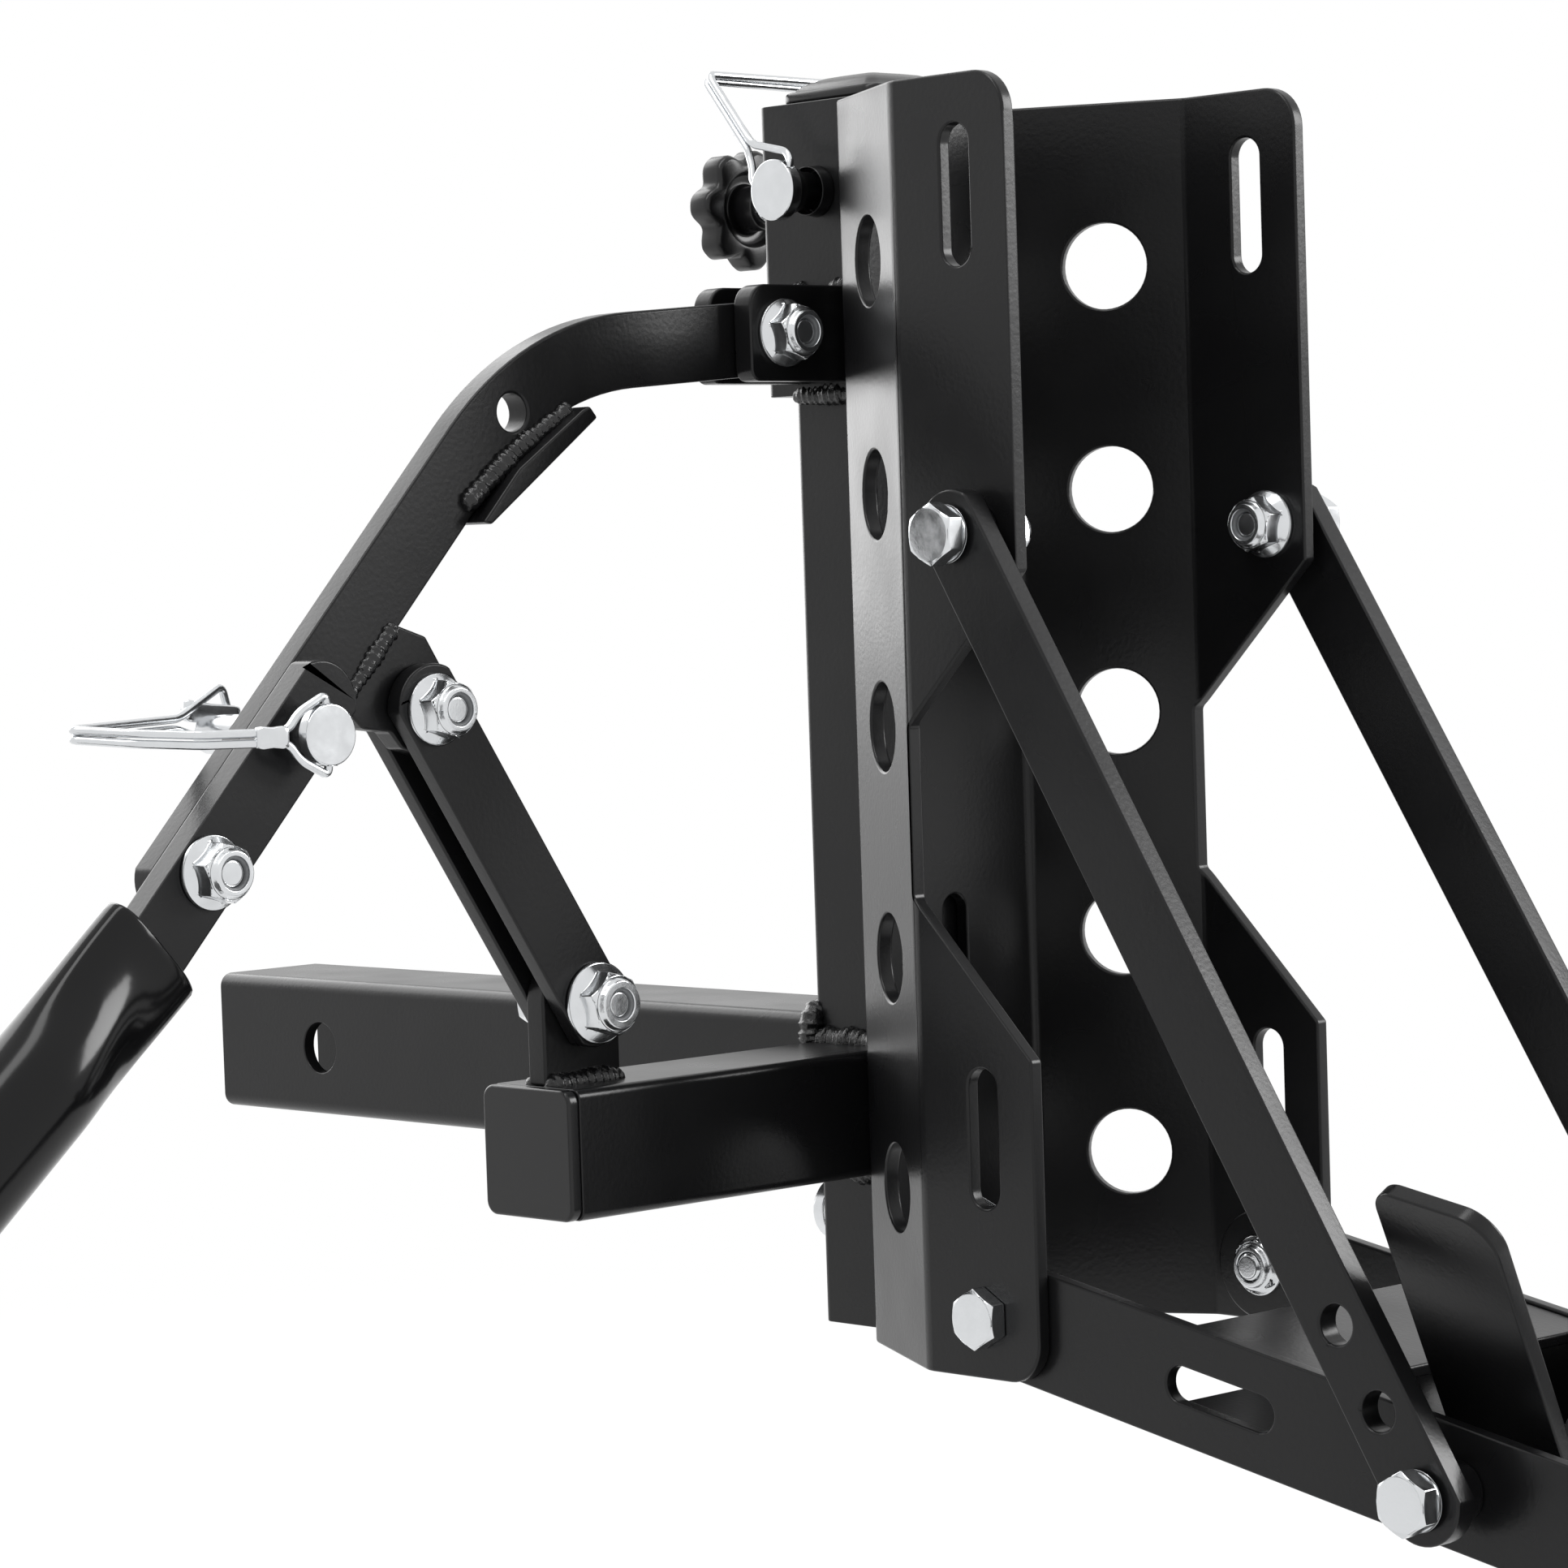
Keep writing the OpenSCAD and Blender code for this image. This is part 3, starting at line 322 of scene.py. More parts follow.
def matt_white_floor(tree, colours):
    """Matt painted board, a barely uneven pale tone that keeps soft shadows and turns to
    plain white with the distance from its middle."""
    # Brush patches 20 mm across
    place, _, shade = uneven_colour(tree, colours.floor, 0.01, 0.02, 2.0)
    away = add_node(tree, "VectorMath", {0: place}, operation="LENGTH")
    # Half white at 0.5 m from the middle and all white from 1.5 m on
    fade = add_node(tree, "MapRange", {"Value": away.outputs["Value"], "From Min": -0.5,
                                       "From Max": 1.5}, interpolation_type="SMOOTHSTEP")
    veil = add_node(tree, "Math", {0: fade.outputs["Result"], 1: seen_directly(tree)},
                    operation="MULTIPLY")
    matt = add_node(tree, "BsdfPrincipled", {"Base Color": shade, "Roughness": 0.9, "IOR": 1.3})
    white = add_node(tree, "Emission", {"Color": (1, 1, 1, 1), "Strength": 1.0})
    mixed = add_node(tree, "MixShader", {0: veil.outputs[0], 1: matt.outputs["BSDF"],
                                         2: white.outputs["Emission"]})
    add_node(tree, "OutputMaterial", {"Surface": mixed.outputs["Shader"]})


# Building helpers

def show(obj, material, body, nodes=()):
    """Gives a finished piece its material and body, and hides the nodes it stands for."""
    obj.data.materials.clear()
    obj.data.materials.append(material)
    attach(obj, body)
    if nodes:
        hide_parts(*nodes)
    return obj


def mesh_piece(name, bm, smooth=True):
    """A new object from a bmesh, in the collection of the scene."""
    bmesh.ops.recalc_face_normals(bm, faces=bm.faces)
    mesh = bpy.data.meshes.new(name)
    bm.to_mesh(mesh)
    bm.free()
    mesh.polygons.foreach_set("use_smooth", [smooth] * len(mesh.polygons))
    obj = bpy.data.objects.new(name, mesh)
    bpy.context.collection.objects.link(obj)
    return obj


def node_bmesh(node):
    """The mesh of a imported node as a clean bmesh, its flat faces in one piece."""
    bm = bmesh.new()
    bm.from_mesh(frame["nodes"][node].data)
    bmesh.ops.remove_doubles(bm, verts=bm.verts, dist=0.00001)
    bmesh.ops.dissolve_limit(bm, angle_limit=math.radians(0.6), verts=bm.verts,
                             edges=bm.edges)
    return bm


def round_edges(obj, width, segments, angle=32):
    """Rounds every edge sharper than the angle, and keeps the flat faces flat."""
    bevel = obj.modifiers.new("edges", "BEVEL")
    bevel.limit_method = "ANGLE"
    bevel.angle_limit = math.radians(angle)
    bevel.width = width
    bevel.segments = segments
    bevel.use_clamp_overlap = False
    bevel.miter_outer = "MITER_ARC"
    weighted = obj.modifiers.new("flats", "WEIGHTED_NORMAL")
    weighted.weight = 100
    weighted.keep_sharp = True
    return obj


def rounded_copy(node, width, segments=3, angle=32):
    """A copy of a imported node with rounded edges, named after it."""
    return round_edges(mesh_piece(node + "_shown", node_bmesh(node)), width, segments, angle)


def resampled(points, step, closed=False):
    """Points at an even step along a line through the given ones."""
    line = [Vector(p) for p in points]
    if closed:
        line.append(line[0])
    out = [line[0]]
    for a, b in zip(line, line[1:]):
        count = max(1, round((b - a).length / step))
        out += [a.lerp(b, i / count) for i in range(1, count + 1)]
    return out[:-1] if closed else out


def skin(bm, rings, closed=False, capped=True):
    """Joins rings of the same count with faces. A closed skin joins the last ring to the
    first one too, and a capped one that isn't closed gets a face at each end."""
    around = len(rings[0])
    for a, b in zip(rings, rings[1:] + (rings[:1] if closed else [])):
        for k in range(around):
            bm.faces.new((a[k], a[(k + 1) % around], b[(k + 1) % around], b[k]))
    if capped and not closed:
        bm.faces.new(rings[0])
        bm.faces.new(rings[-1])


def weld_bead(bm, points, across, radius, closed=False):
    """Adds one weld bead: a round run with overlapping ripples, uneven in width, that
    swells at the start and tapers at the end. across is never along the run."""
    pitch = bpy.context.scene.carrier_sizes.ripple_pitch
    step = pitch / 5
    line = resampled(points, step, closed)
    across = Vector(across).normalized()
    count, around, rings = len(line), 12, []
    for i, p in enumerate(line):
        before, after = line[(i - 1) % count], line[(i + 1) % count]
        if not closed:
            before, after = line[max(i - 1, 0)], line[min(i + 1, count - 1)]
        along = (after - before).normalized()
        out = along.cross(across).normalized()
        run = i * step
        # The width wanders in waves of 7 and 1.6 mm, and the middle line in waves of 6 mm
        swell = 1 + 0.34 * noise.noise(p * 150) + 0.14 * noise.noise(p * 620)
        if not closed:
            end = min(run, (count - 1) * step - run)
            swell *= min(1, 0.35 + 0.65 * math.sqrt(min(1, end / (0.8 * radius))))
        shift = Vector((noise.noise(p * 160 + Vector((9, 0, 0))),
                        noise.noise(p * 160 + Vector((0, 9, 0))),
                        noise.noise(p * 160 + Vector((0, 0, 9))))) * radius * 0.14
        ring = []
        for k in range(around):
            a = 2 * math.pi * k / around
            ripple = 1 + 0.085 * math.sin(2 * math.pi * run / pitch + 1.1 * math.cos(2 * a))
            r = radius * swell * ripple
            ring.append(bm.verts.new(p + shift + (across * math.cos(a) + out * math.sin(a)) * r))
        rings.append(ring)
    skin(bm, rings, closed)


def square_loop(centre, u, v, half_u, half_v, r):
    """Points round a rectangle with rounded corners, in the plane of u and v."""
    points = []
    for su, sv, start in ((1, 1, 0), (-1, 1, 90), (-1, -1, 180), (1, -1, 270)):
        for i in range(5):
            a = math.radians(start + 22.5 * i)
            points.append(Vector(centre) + Vector(u) * (su * (half_u - r) + r * math.cos(a))
                          + Vector(v) * (sv * (half_v - r) + r * math.sin(a)))
    return points


def circle_points(centre, u, v, radius, count=24):
    """Points round a circle in the plane of u and v."""
    return [Vector(centre) + Vector(u) * radius * math.cos(2 * math.pi * i / count)
            + Vector(v) * radius * math.sin(2 * math.pi * i / count) for i in range(count)]


def threaded_end(bm, start, axis, length, radius, pitch):
    """Adds a run of outside thread along an axis, with a chamfered end."""
    axis = Vector(axis).normalized()
    side = axis.orthogonal().normalized()
    up = axis.cross(side)
    around, steps = 24, max(4, round(length / pitch * 8))
    rings = []
    for i in range(steps + 1):
        run = length * i / steps
        ring = []
        for k in range(around):
            phase = (run / pitch - k / around) % 1
            depth = 0.6 * pitch * (1 - abs(2 * phase - 1)) ** 0.8
            r = min(radius - depth * 0.55, radius - 0.9 * pitch + (length - run))
            a = 2 * math.pi * k / around
            ring.append(bm.verts.new(Vector(start) + axis * run
                                     + (side * math.cos(a) + up * math.sin(a)) * r))
        rings.append(ring)
    skin(bm, rings)


def hex_head(bm, seat, axis, up, flats, height):
    """Adds a bolt head on its seat: six flats and a turned chamfer round the end face."""
    axis, up = Vector(axis).normalized(), Vector(up).normalized()
    side, around, rings = axis.cross(up), 72, []
    # A chamfer of 30 degrees starts just inside the flats and cuts the six corners
    face = flats * 0.475
    for part in ("seat", "foot", "rim", "face", "middle"):
        ring = []
        for k in range(around):
            a = 2 * math.pi * k / around
            corner = flats / 2 / math.cos((a % (math.pi / 3)) - math.pi / 6)
            drop = max(0, corner - face) * math.tan(math.radians(30))
            r, z = {"seat": (flats * 0.4, 0), "foot": (corner, 0.0002),
                    "rim": (corner, height - drop), "face": (face, height),
                    "middle": (face * 0.5, height)}[part]
            ring.append(bm.verts.new(Vector(seat) + axis * z
                                     + (side * math.sin(a) + up * math.cos(a)) * r))
        rings.append(ring)
    skin(bm, rings)


def turned(bm, start, axis, profile, around=40, bored=False):
    """Adds a turned shape: profile is pairs of radius and distance along the axis, in mm.
    A bored one is open from end to end, its last pair joined to the first."""
    axis = Vector(axis).normalized()
    u = axis.orthogonal().normalized()
    rings = [[bm.verts.new(p) for p in circle_points(
        Vector(start) + axis * run / 1000, u, axis.cross(u), radius / 1000, around)]
        for radius, run in profile]
    skin(bm, rings, bored)


def middle(node):
    """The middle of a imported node's box."""
    low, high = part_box(node)
    return (low + high) / 2


# Operators

class CARRIER_OT_coated_steel(bpy.types.Operator):
    """Coated plates, bars and tubes, with the edges the powder rounds off"""
    bl_idname = "carrier.coated_steel"
    bl_label = "Coated steel"

    def execute(self, context):
        sizes = context.scene.carrier_sizes
        coat = finish(satin_black_powder_coat)
        tubes = ("hitch_shank", "side_arm", "mast_tube", "sleeve")
        plates = ("pivot_post", "link_front", "link_rear", "lever_bar", "lever_lug",
                  "stop_plate", "handle_bar", "clevis_front", "clevis_rear", "cradle_back",
                  "tray_side_near", "tray_side_far", "tray_cross", "tray_floor", "tray_end",
                  "wheel_guide_near", "wheel_guide_far", "brace_near", "brace_far")
        for node in tubes + plates + ("knob_boss",):
            width = sizes.plate_round if node in plates else sizes.tube_round
            show(rounded_copy(node, width), coat, BODY_OF[node], [node])
        # The boss is a bored stub, and the pin slides in it with a coated collar. Their
        # profiles are pairs of radius and distance outwards in mm
        low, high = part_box("pin_boss")
        centre = middle("pin_boss")
        out = Vector((0, -1, 0))
        bm = bmesh.new()
        turned(bm, (centre.x, high.y, centre.z), out,
               ((7.5, 0), (8.4, 0), (8.1, 0.8), (8.1, 4.6), (7.9, 5), (7.7, 5), (7.5, 4.6)),
               bored=True)
        show(mesh_piece("pin_boss_shown", bm), coat, "cradle", ["pin_boss"])
        bm = bmesh.new()
        turned(bm, (centre.x, low.y + 0.0004, centre.z), out,
               ((6.02, 0), (6.15, 0), (6.15, 5.6), (7.3, 6.4), (7.3, 10.5), (6.02, 10.9)))
        show(mesh_piece("height_pin_collar", bm), coat, "height_pin_body")
        return {"FINISHED"}


class CARRIER_OT_handle(bpy.types.Operator):
    """The round tube of the handle with its flattened mouth, and its rubber grip"""
    bl_idname = "carrier.handle"
    bl_label = "Handle tube and grip"

    def execute(self, context):
        sizes = context.scene.carrier_sizes
        show(self.tube(), finish(gloss_black_powder_coat), "handle", ["handle_tube"])
        show(rounded_copy("handle_grip", sizes.plastic_round), finish(moulded_black_rubber),
             "handle", ["handle_grip"])
        return {"FINISHED"}

    def tube(self):
        """A round tube whose mouth is pressed flat over the handle bar."""
        mouth_y, mouth_z, slope = -0.3140, 0.0715, math.radians(41)
        mouth = Vector((middle("handle_bar").x, mouth_y, mouth_z))
        along = Vector((0, -math.cos(slope), -math.sin(slope)))
        across, up = Vector((1, 0, 0)), Vector((0, -math.sin(slope), math.cos(slope)))
        # In mm: half the width and height of the flat mouth, radius of the round tube,
        # where the change from one to the other starts and how long it is, and the length
        half_wide, half_high, radius, start, change = 8, 19, 18, 6, 52
        length, squareness = 400, 2.7
        bm, rings, around = bmesh.new(), [], 72
        # Distance from the mouth and inset of the wall, in mm
        runs = [(5, 3.4), (1.2, 3.2), (0.4, 2.9), (0, 2.3), (0, 1.0), (0.35, 0.35), (1.1, 0)]
        runs += [(run, 0) for run in list(range(3, 70, 2)) + list(range(75, length - 4, 20))]
        runs += [(length - 1, 0), (length, 1.0)]
        for run, inset in runs:
            share = min(1, max(0, (run - start) / change))
            share = share * share * (3 - 2 * share)
            ring = []
            for k in range(around):
                a = 2 * math.pi * k / around
                c, s = math.cos(a), math.sin(a)
                flat = (abs(c / half_wide) ** squareness
                        + abs(s / half_high) ** squareness) ** (-1 / squareness)
                r = (flat * (1 - share) + radius * share - inset) / 1000
                ring.append(bm.verts.new(mouth + along * run / 1000 + across * c * r + up * s * r))
            rings.append(ring)
        skin(bm, rings)
        return mesh_piece("handle_tube_shown", bm)


class CARRIER_OT_fasteners(bpy.types.Operator):
    """Plated bolts and pins, and lock nuts with the nylon ring that grips the thread"""
    bl_idname = "carrier.fasteners"
    bl_label = "Bolts, nuts and pins"

    def execute(self, context):
        sizes = context.scene.carrier_sizes
        zinc, nylon = finish(bright_zinc_plate), finish(nylon_lock_ring)
        # Name, axis, way from head to nut, washer thickness in mm
        for pair, axis, sign, washer in (
                ("post", 0, 1, 0), ("link", 0, 1, 0), ("handle", 0, 1, 0), ("clevis", 0, 1, 0),
                ("brace_near", 1, 1, 1.5), ("brace_far", 1, -1, 1.5),
                ("foot_near", 1, 1, 1.5), ("foot_far", 1, -1, 1.5),
                ("tray_near", 1, 1, 0), ("tray_far", 1, -1, 0)):
            name, _, side = pair.partition("_")
            bolt = name + "_bolt" + ("_" + side if side else "")
            nut = name + "_nut" + ("_" + side if side else "")
            self.bolt(bolt, axis, sign, washer, 0 if name == "tray" else sizes.bolt_inset, zinc)
            show(rounded_copy(nut, sizes.metal_round, 2), zinc, BODY_OF[nut], [nut])
            if name != "tray":
                self.lock_ring(nut, axis, sign, nylon)
        for node in ("guide_bolt", "guide_nut", "lever_pin", "height_pin"):
            show(rounded_copy(node, sizes.metal_round * 1.6, 3), zinc, BODY_OF[node],
                 [node])
        self.thread(sizes, zinc)
        return {"FINISHED"}

    def bolt(self, node, axis, sign, washer, inset, zinc):
        """One bolt: head, washer if it has one, shank and threaded end."""
        low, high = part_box(node)
        along, up = Vector((0, 0, 0)), Vector((0, 0, 1))
        along[axis] = sign
        start = (low + high) / 2
        start[axis] = low[axis] if sign > 0 else high[axis]
        length = (high[axis] - low[axis]) - inset
        bm = bmesh.new()
        if node == "handle_bolt":
            head = 2.6
            turned(bm, start, along, ((1, 0), (4, 0.25), (6.5, 0.9), (7.7, 1.7), (8, 2.3),
                                      (7.8, 2.6), (4, 2.6)))
        else:
            head = HEAD_HEIGHT + washer
            seat = start + along * HEAD_HEIGHT / 1000
            hex_head(bm, seat, -along, up, HEAD_FLATS / 1000, HEAD_HEIGHT / 1000)
        if washer:
            edge = WASHER_RADIUS - 0.2
            turned(bm, seat, along, ((4, 0), (edge, 0), (WASHER_RADIUS, 0.25),
                                     (WASHER_RADIUS, washer - 0.25), (edge, washer), (4, washer)))
        # The shank starts inside the head, and the thread inside the shank
        shank, plain, overlap = head - 0.4, length * 1000 - THREAD_RUN, 0.5
        turned(bm, start, along, ((2, shank), (BOLT_RADIUS, shank), (BOLT_RADIUS, plain),
                                  (2, plain)))
        sizes = bpy.context.scene.carrier_sizes
        threaded_end(bm, start + along * (plain - overlap) / 1000, along,
                     (THREAD_RUN + overlap) / 1000, BOLT_RADIUS / 1000, sizes.thread_pitch)
        piece = round_edges(mesh_piece(node + "_shown", bm), sizes.metal_round, 2, 26)
        show(piece, zinc, BODY_OF[node], [node])

    def lock_ring(self, nut, axis, sign, nylon):
        """The nylon ring, a little below the lip of the nut's collar."""
        low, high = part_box(nut)
        centre = (low + high) / 2
        lip = high[axis] if sign > 0 else low[axis]
        u, v = Vector((0, 0, 1)), Vector((0, 0, 0))
        v[1 - axis] = 1
        out = Vector((0, 0, 0))
        out[axis] = sign
        bm = bmesh.new()
        # From the bore up over the ring and down its inner side: radius and depth in mm
        profile = ((5.35, 2.2), (5.35, 0.9), (5.15, 0.7), (4.6, 0.7), (4.3, 1.0), (4.3, 3.0))
        rings = []
        for radius, depth in profile:
            spot = Vector(centre)
            spot[axis] = lip
            spot -= out * depth / 1000
            rings.append([bm.verts.new(p) for p in circle_points(spot, u, v, radius / 1000, 32)])
        skin(bm, rings, capped=False)
        show(mesh_piece(nut + "_ring", bm), nylon, BODY_OF[nut])

    def thread(self, sizes, zinc):
        """The thread that shows past the nut of the guide bolt."""
        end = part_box("guide_bolt")[1].x
        nut_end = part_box("guide_nut")[1].x
        spot = middle("guide_nut")
        bm = bmesh.new()
        # It starts 1 mm inside the nut and ends 0.2 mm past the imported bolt, which it wraps
        threaded_end(bm, (nut_end - 0.001, spot.y, spot.z), (1, 0, 0),
                     end - nut_end + 0.0012, 0.00515, sizes.thread_pitch)
        show(mesh_piece("guide_bolt_thread", bm), zinc, "hitch_frame")


class CARRIER_OT_bails(bpy.types.Operator):
    """The two bent spring-wire bails that keep the lock pins in"""
    bl_idname = "carrier.bails"
    bl_label = "Wire bails"

    def execute(self, context):
        # Points of each strand in mm, along X and Y from the axis of the mast, and along Z
        # from the axis of the shank
        lever = [
            [(24.3, -258, 134), (24.3, -258, 142), (24.3, -268.2, 137), (24, -272.6, 131.7),
             (20, -281, 131.6), (14.5, -297, 131.8), (5, -312.5, 133), (-10, -325, 134.6),
             (-31, -271, 135.2), (-35, -251, 144.3), (-35, -249, 137)],
            [(24.3, -258, 126), (24.3, -258, 118), (24.3, -268.2, 123), (24, -272.6, 128.5),
             (20, -281, 128.6), (14.5, -297, 128.8), (5, -312.5, 130), (-10, -325, 131.8),
             (-31, -272, 132.2), (-35.4, -262, 129.8), (-35.4, -256, 126.5)]]
        height = [
            [(2.4, -45.25, 299.2), (6.6, -44.6, 303.6), (3.6, -43.4, 308.2),
             (-12.9, -43.25, 311.9), (-32.7, -43.25, 336.3), (-32.7, 40, 335.4), (-16, 39, 312),
             (-3, 38, 302)],
            [(-6, -45.25, 296.5), (-11.5, -45, 299.5), (-12.5, -43.6, 304), (-14.2, -43.2, 308),
             (-14.9, -43.25, 310.1), (-34.7, -43.25, 334.5), (-34.7, 40, 332.8),
             (-18.4, 39, 309.6), (-5.4, 38, 299.6)]]
        self.bail("lever_pin_bail", lever, "lever_bail")
        self.bail("height_pin_bail", height, "height_bail")
        self.crimp("lever_bail_crimp", (24.0, -272.2, 130.1), (20.2, -281.2, 130.1))
        self.crimp("lever_bail_far_crimp", (-34.6, -266.2, 137.6), (-31, -248, 134.6))
        return {"FINISHED"}

    def bail(self, node, strands, body):
        """One bail as a wire in two strands, straight between bends that start 2.5 mm
        before each corner, or less where the corners are close."""
        bend = 0.0025
        curve = bpy.data.curves.new(node + "_wire", "CURVE")
        curve.dimensions = "3D"
        curve.bevel_depth = bpy.context.scene.carrier_sizes.wire_thick / 2
        curve.bevel_resolution = 5
        curve.resolution_u = 6
        curve.use_fill_caps = True
        for strand in strands:
            line = [Vector((x + MAST_MM, y, z)) / 1000 for x, y, z in strand]
            bends = [(line[0], line[0], line[0])]
            for a, b, c in zip(line, line[1:], line[2:]):
                cut = min(bend, (a - b).length * 0.45, (c - b).length * 0.45)
                enter, leave = b + (a - b).normalized() * cut, b + (c - b).normalized() * cut
                bends += [(enter, enter, enter.lerp(b, 0.6)), (leave, leave.lerp(b, 0.6), leave)]
            bends.append((line[-1], line[-1], line[-1]))
            spline = curve.splines.new("BEZIER")
            spline.bezier_points.add(len(bends) - 1)
            for point, (at, left, right) in zip(spline.bezier_points, bends):
                point.handle_left_type = point.handle_right_type = "FREE"
                point.co, point.handle_left, point.handle_right = at, left, right
        obj = bpy.data.objects.new(node + "_wire", curve)
        bpy.context.collection.objects.link(obj)
        show(obj, finish(bright_zinc_plate), body, [node])

    def crimp(self, name, start, end):
        """A pressed ferrule that holds the two strands of the lever's bail together."""
        start, end = Vector(start), Vector(end)
        start.x += MAST_MM
        end.x += MAST_MM
        along = (end - start).normalized()
        up = Vector((0, 0, 1))
        side = along.cross(up).normalized()
        bm, rings, around = bmesh.new(), [], 32
        length = (end - start).length
        half_wide, half_high = 1.85, 3.15
        for run, grow in ((0, -0.5), (0.25, 0), (2, 0.25), (length / 2, -0.1),
                          (length - 2, 0.25), (length - 0.25, 0), (length, -0.5)):
            ring = []
            for k in range(around):
                a = 2 * math.pi * k / around
                c, s = math.cos(a), math.sin(a)
                x = math.copysign(abs(c) ** 0.5, c) * (half_wide + grow)
                z = math.copysign(abs(s) ** 0.5, s) * (half_high + grow)
                ring.append(bm.verts.new((start + along * run + side * x + up * z) / 1000))
            rings.append(ring)
        skin(bm, rings)
        show(mesh_piece(name, bm), finish(bright_zinc_plate), "lever_bail")


class CARRIER_OT_mouldings(bpy.types.Operator):
    """The plastic caps on the mast and the side arm, and the star knob"""
    bl_idname = "carrier.mouldings"
    bl_label = "Caps and knob"

    def execute(self, context):
        sizes = context.scene.carrier_sizes
        plastic = finish(moulded_black_polypropylene)
        show(rounded_copy("arm_end_cap", sizes.plastic_round, 4, 28), plastic, "hitch_frame",
             ["arm_end_cap"])
        show(self.cap(), plastic, "hitch_frame", ["mast_top_cap"])
        show(self.knob(), plastic, "knob", ["star_knob"])
        low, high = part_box("star_knob")
        centre = middle("star_knob")
        bm = bmesh.new()
        inside = 0.016
        threaded_end(bm, (low.x + inside, 0, centre.z), (1, 0, 0), high.x - low.x - inside,
                     BOLT_RADIUS / 1000, sizes.thread_pitch)
        show(mesh_piece("star_knob_stud", bm), finish(bright_zinc_plate), "knob")
        return {"FINISHED"}

    def cap(self):
        """The square cap on the mast: a rounded rim with a shallow pillow inside it."""
        low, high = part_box("mast_top_cap")
        x, y = middle("mast_top_cap").x, 0
        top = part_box("mast_tube")[1].z
        half = (high.x - low.x) / 2
        bm, rings = bmesh.new(), []
        # Inset from the side, height over the mast and corner radius, in mm
        for inset, rise, r in ((5, 0, 1), (0.5, 0, 4.5), (0.1, 0.3, 4.9), (0, 1, 5),
                               (0.05, 2.6, 5), (0.5, 3.3, 4.6), (1.2, 3.6, 4.2), (2, 3.65, 3.8),
                               (2.6, 3.9, 3.6), (4, 5.2, 3.2), (6.5, 6.7, 3), (10, 7.9, 2.6),
                               (14, 8.6, 2), (18, 8.9, 1.4)):
            rings.append([bm.verts.new(p) for p in square_loop(
                (x, y, top + rise / 1000), (1, 0, 0), (0, 1, 0), half - inset / 1000,
                half - inset / 1000, r / 1000)])
        skin(bm, rings)
        return mesh_piece("mast_top_cap_shown", bm)

    def knob(self):
        """A star grip with seven lobes, a bowl on the side of the mast and a hub in it."""
        centre = Vector((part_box("star_knob")[0].x, 0, middle("star_knob").z))
        # Distance from the outer face, radius or inset from the star, share of the star
        stations = ((0.0, 6, 0), (0.1, -5.5, 1), (0.35, -2.2, 1), (1.0, -0.8, 1), (2.2, 0, 1),
                    (8.8, 0, 1), (10.0, -0.7, 1), (10.8, -1.9, 1), (11.0, 13.3, 0),
                    (10.6, 12.7, 0), (8.4, 12.3, 0), (7.4, 11.2, 0), (7.1, 9.2, 0),
                    (7.5, 8.2, 0), (9.0, 7.8, 0), (17.2, 7.5, 0), (17.9, 7.0, 0), (18.0, 5.6, 0))
        # Radius at the crests and depth between them, in mm
        lobes, crest, depth, turn = 7, 20.6, 3.9, math.radians(21.7)
        bm, rings, around = bmesh.new(), [], 140
        for run, size, star in stations:
            ring = []
            for k in range(around):
                a = 2 * math.pi * k / around
                lobe = crest - depth * abs(math.sin(lobes / 2 * (a - turn))) ** 3
                r = (lobe + size if star else size) / 1000
                ring.append(bm.verts.new(centre + Vector((run / 1000, r * math.cos(a),
                                                          r * math.sin(a)))))
            rings.append(ring)
        skin(bm, rings)
        piece = mesh_piece("star_knob_shown", bm)
        piece.modifiers.new("flats", "WEIGHTED_NORMAL").weight = 100
        return piece


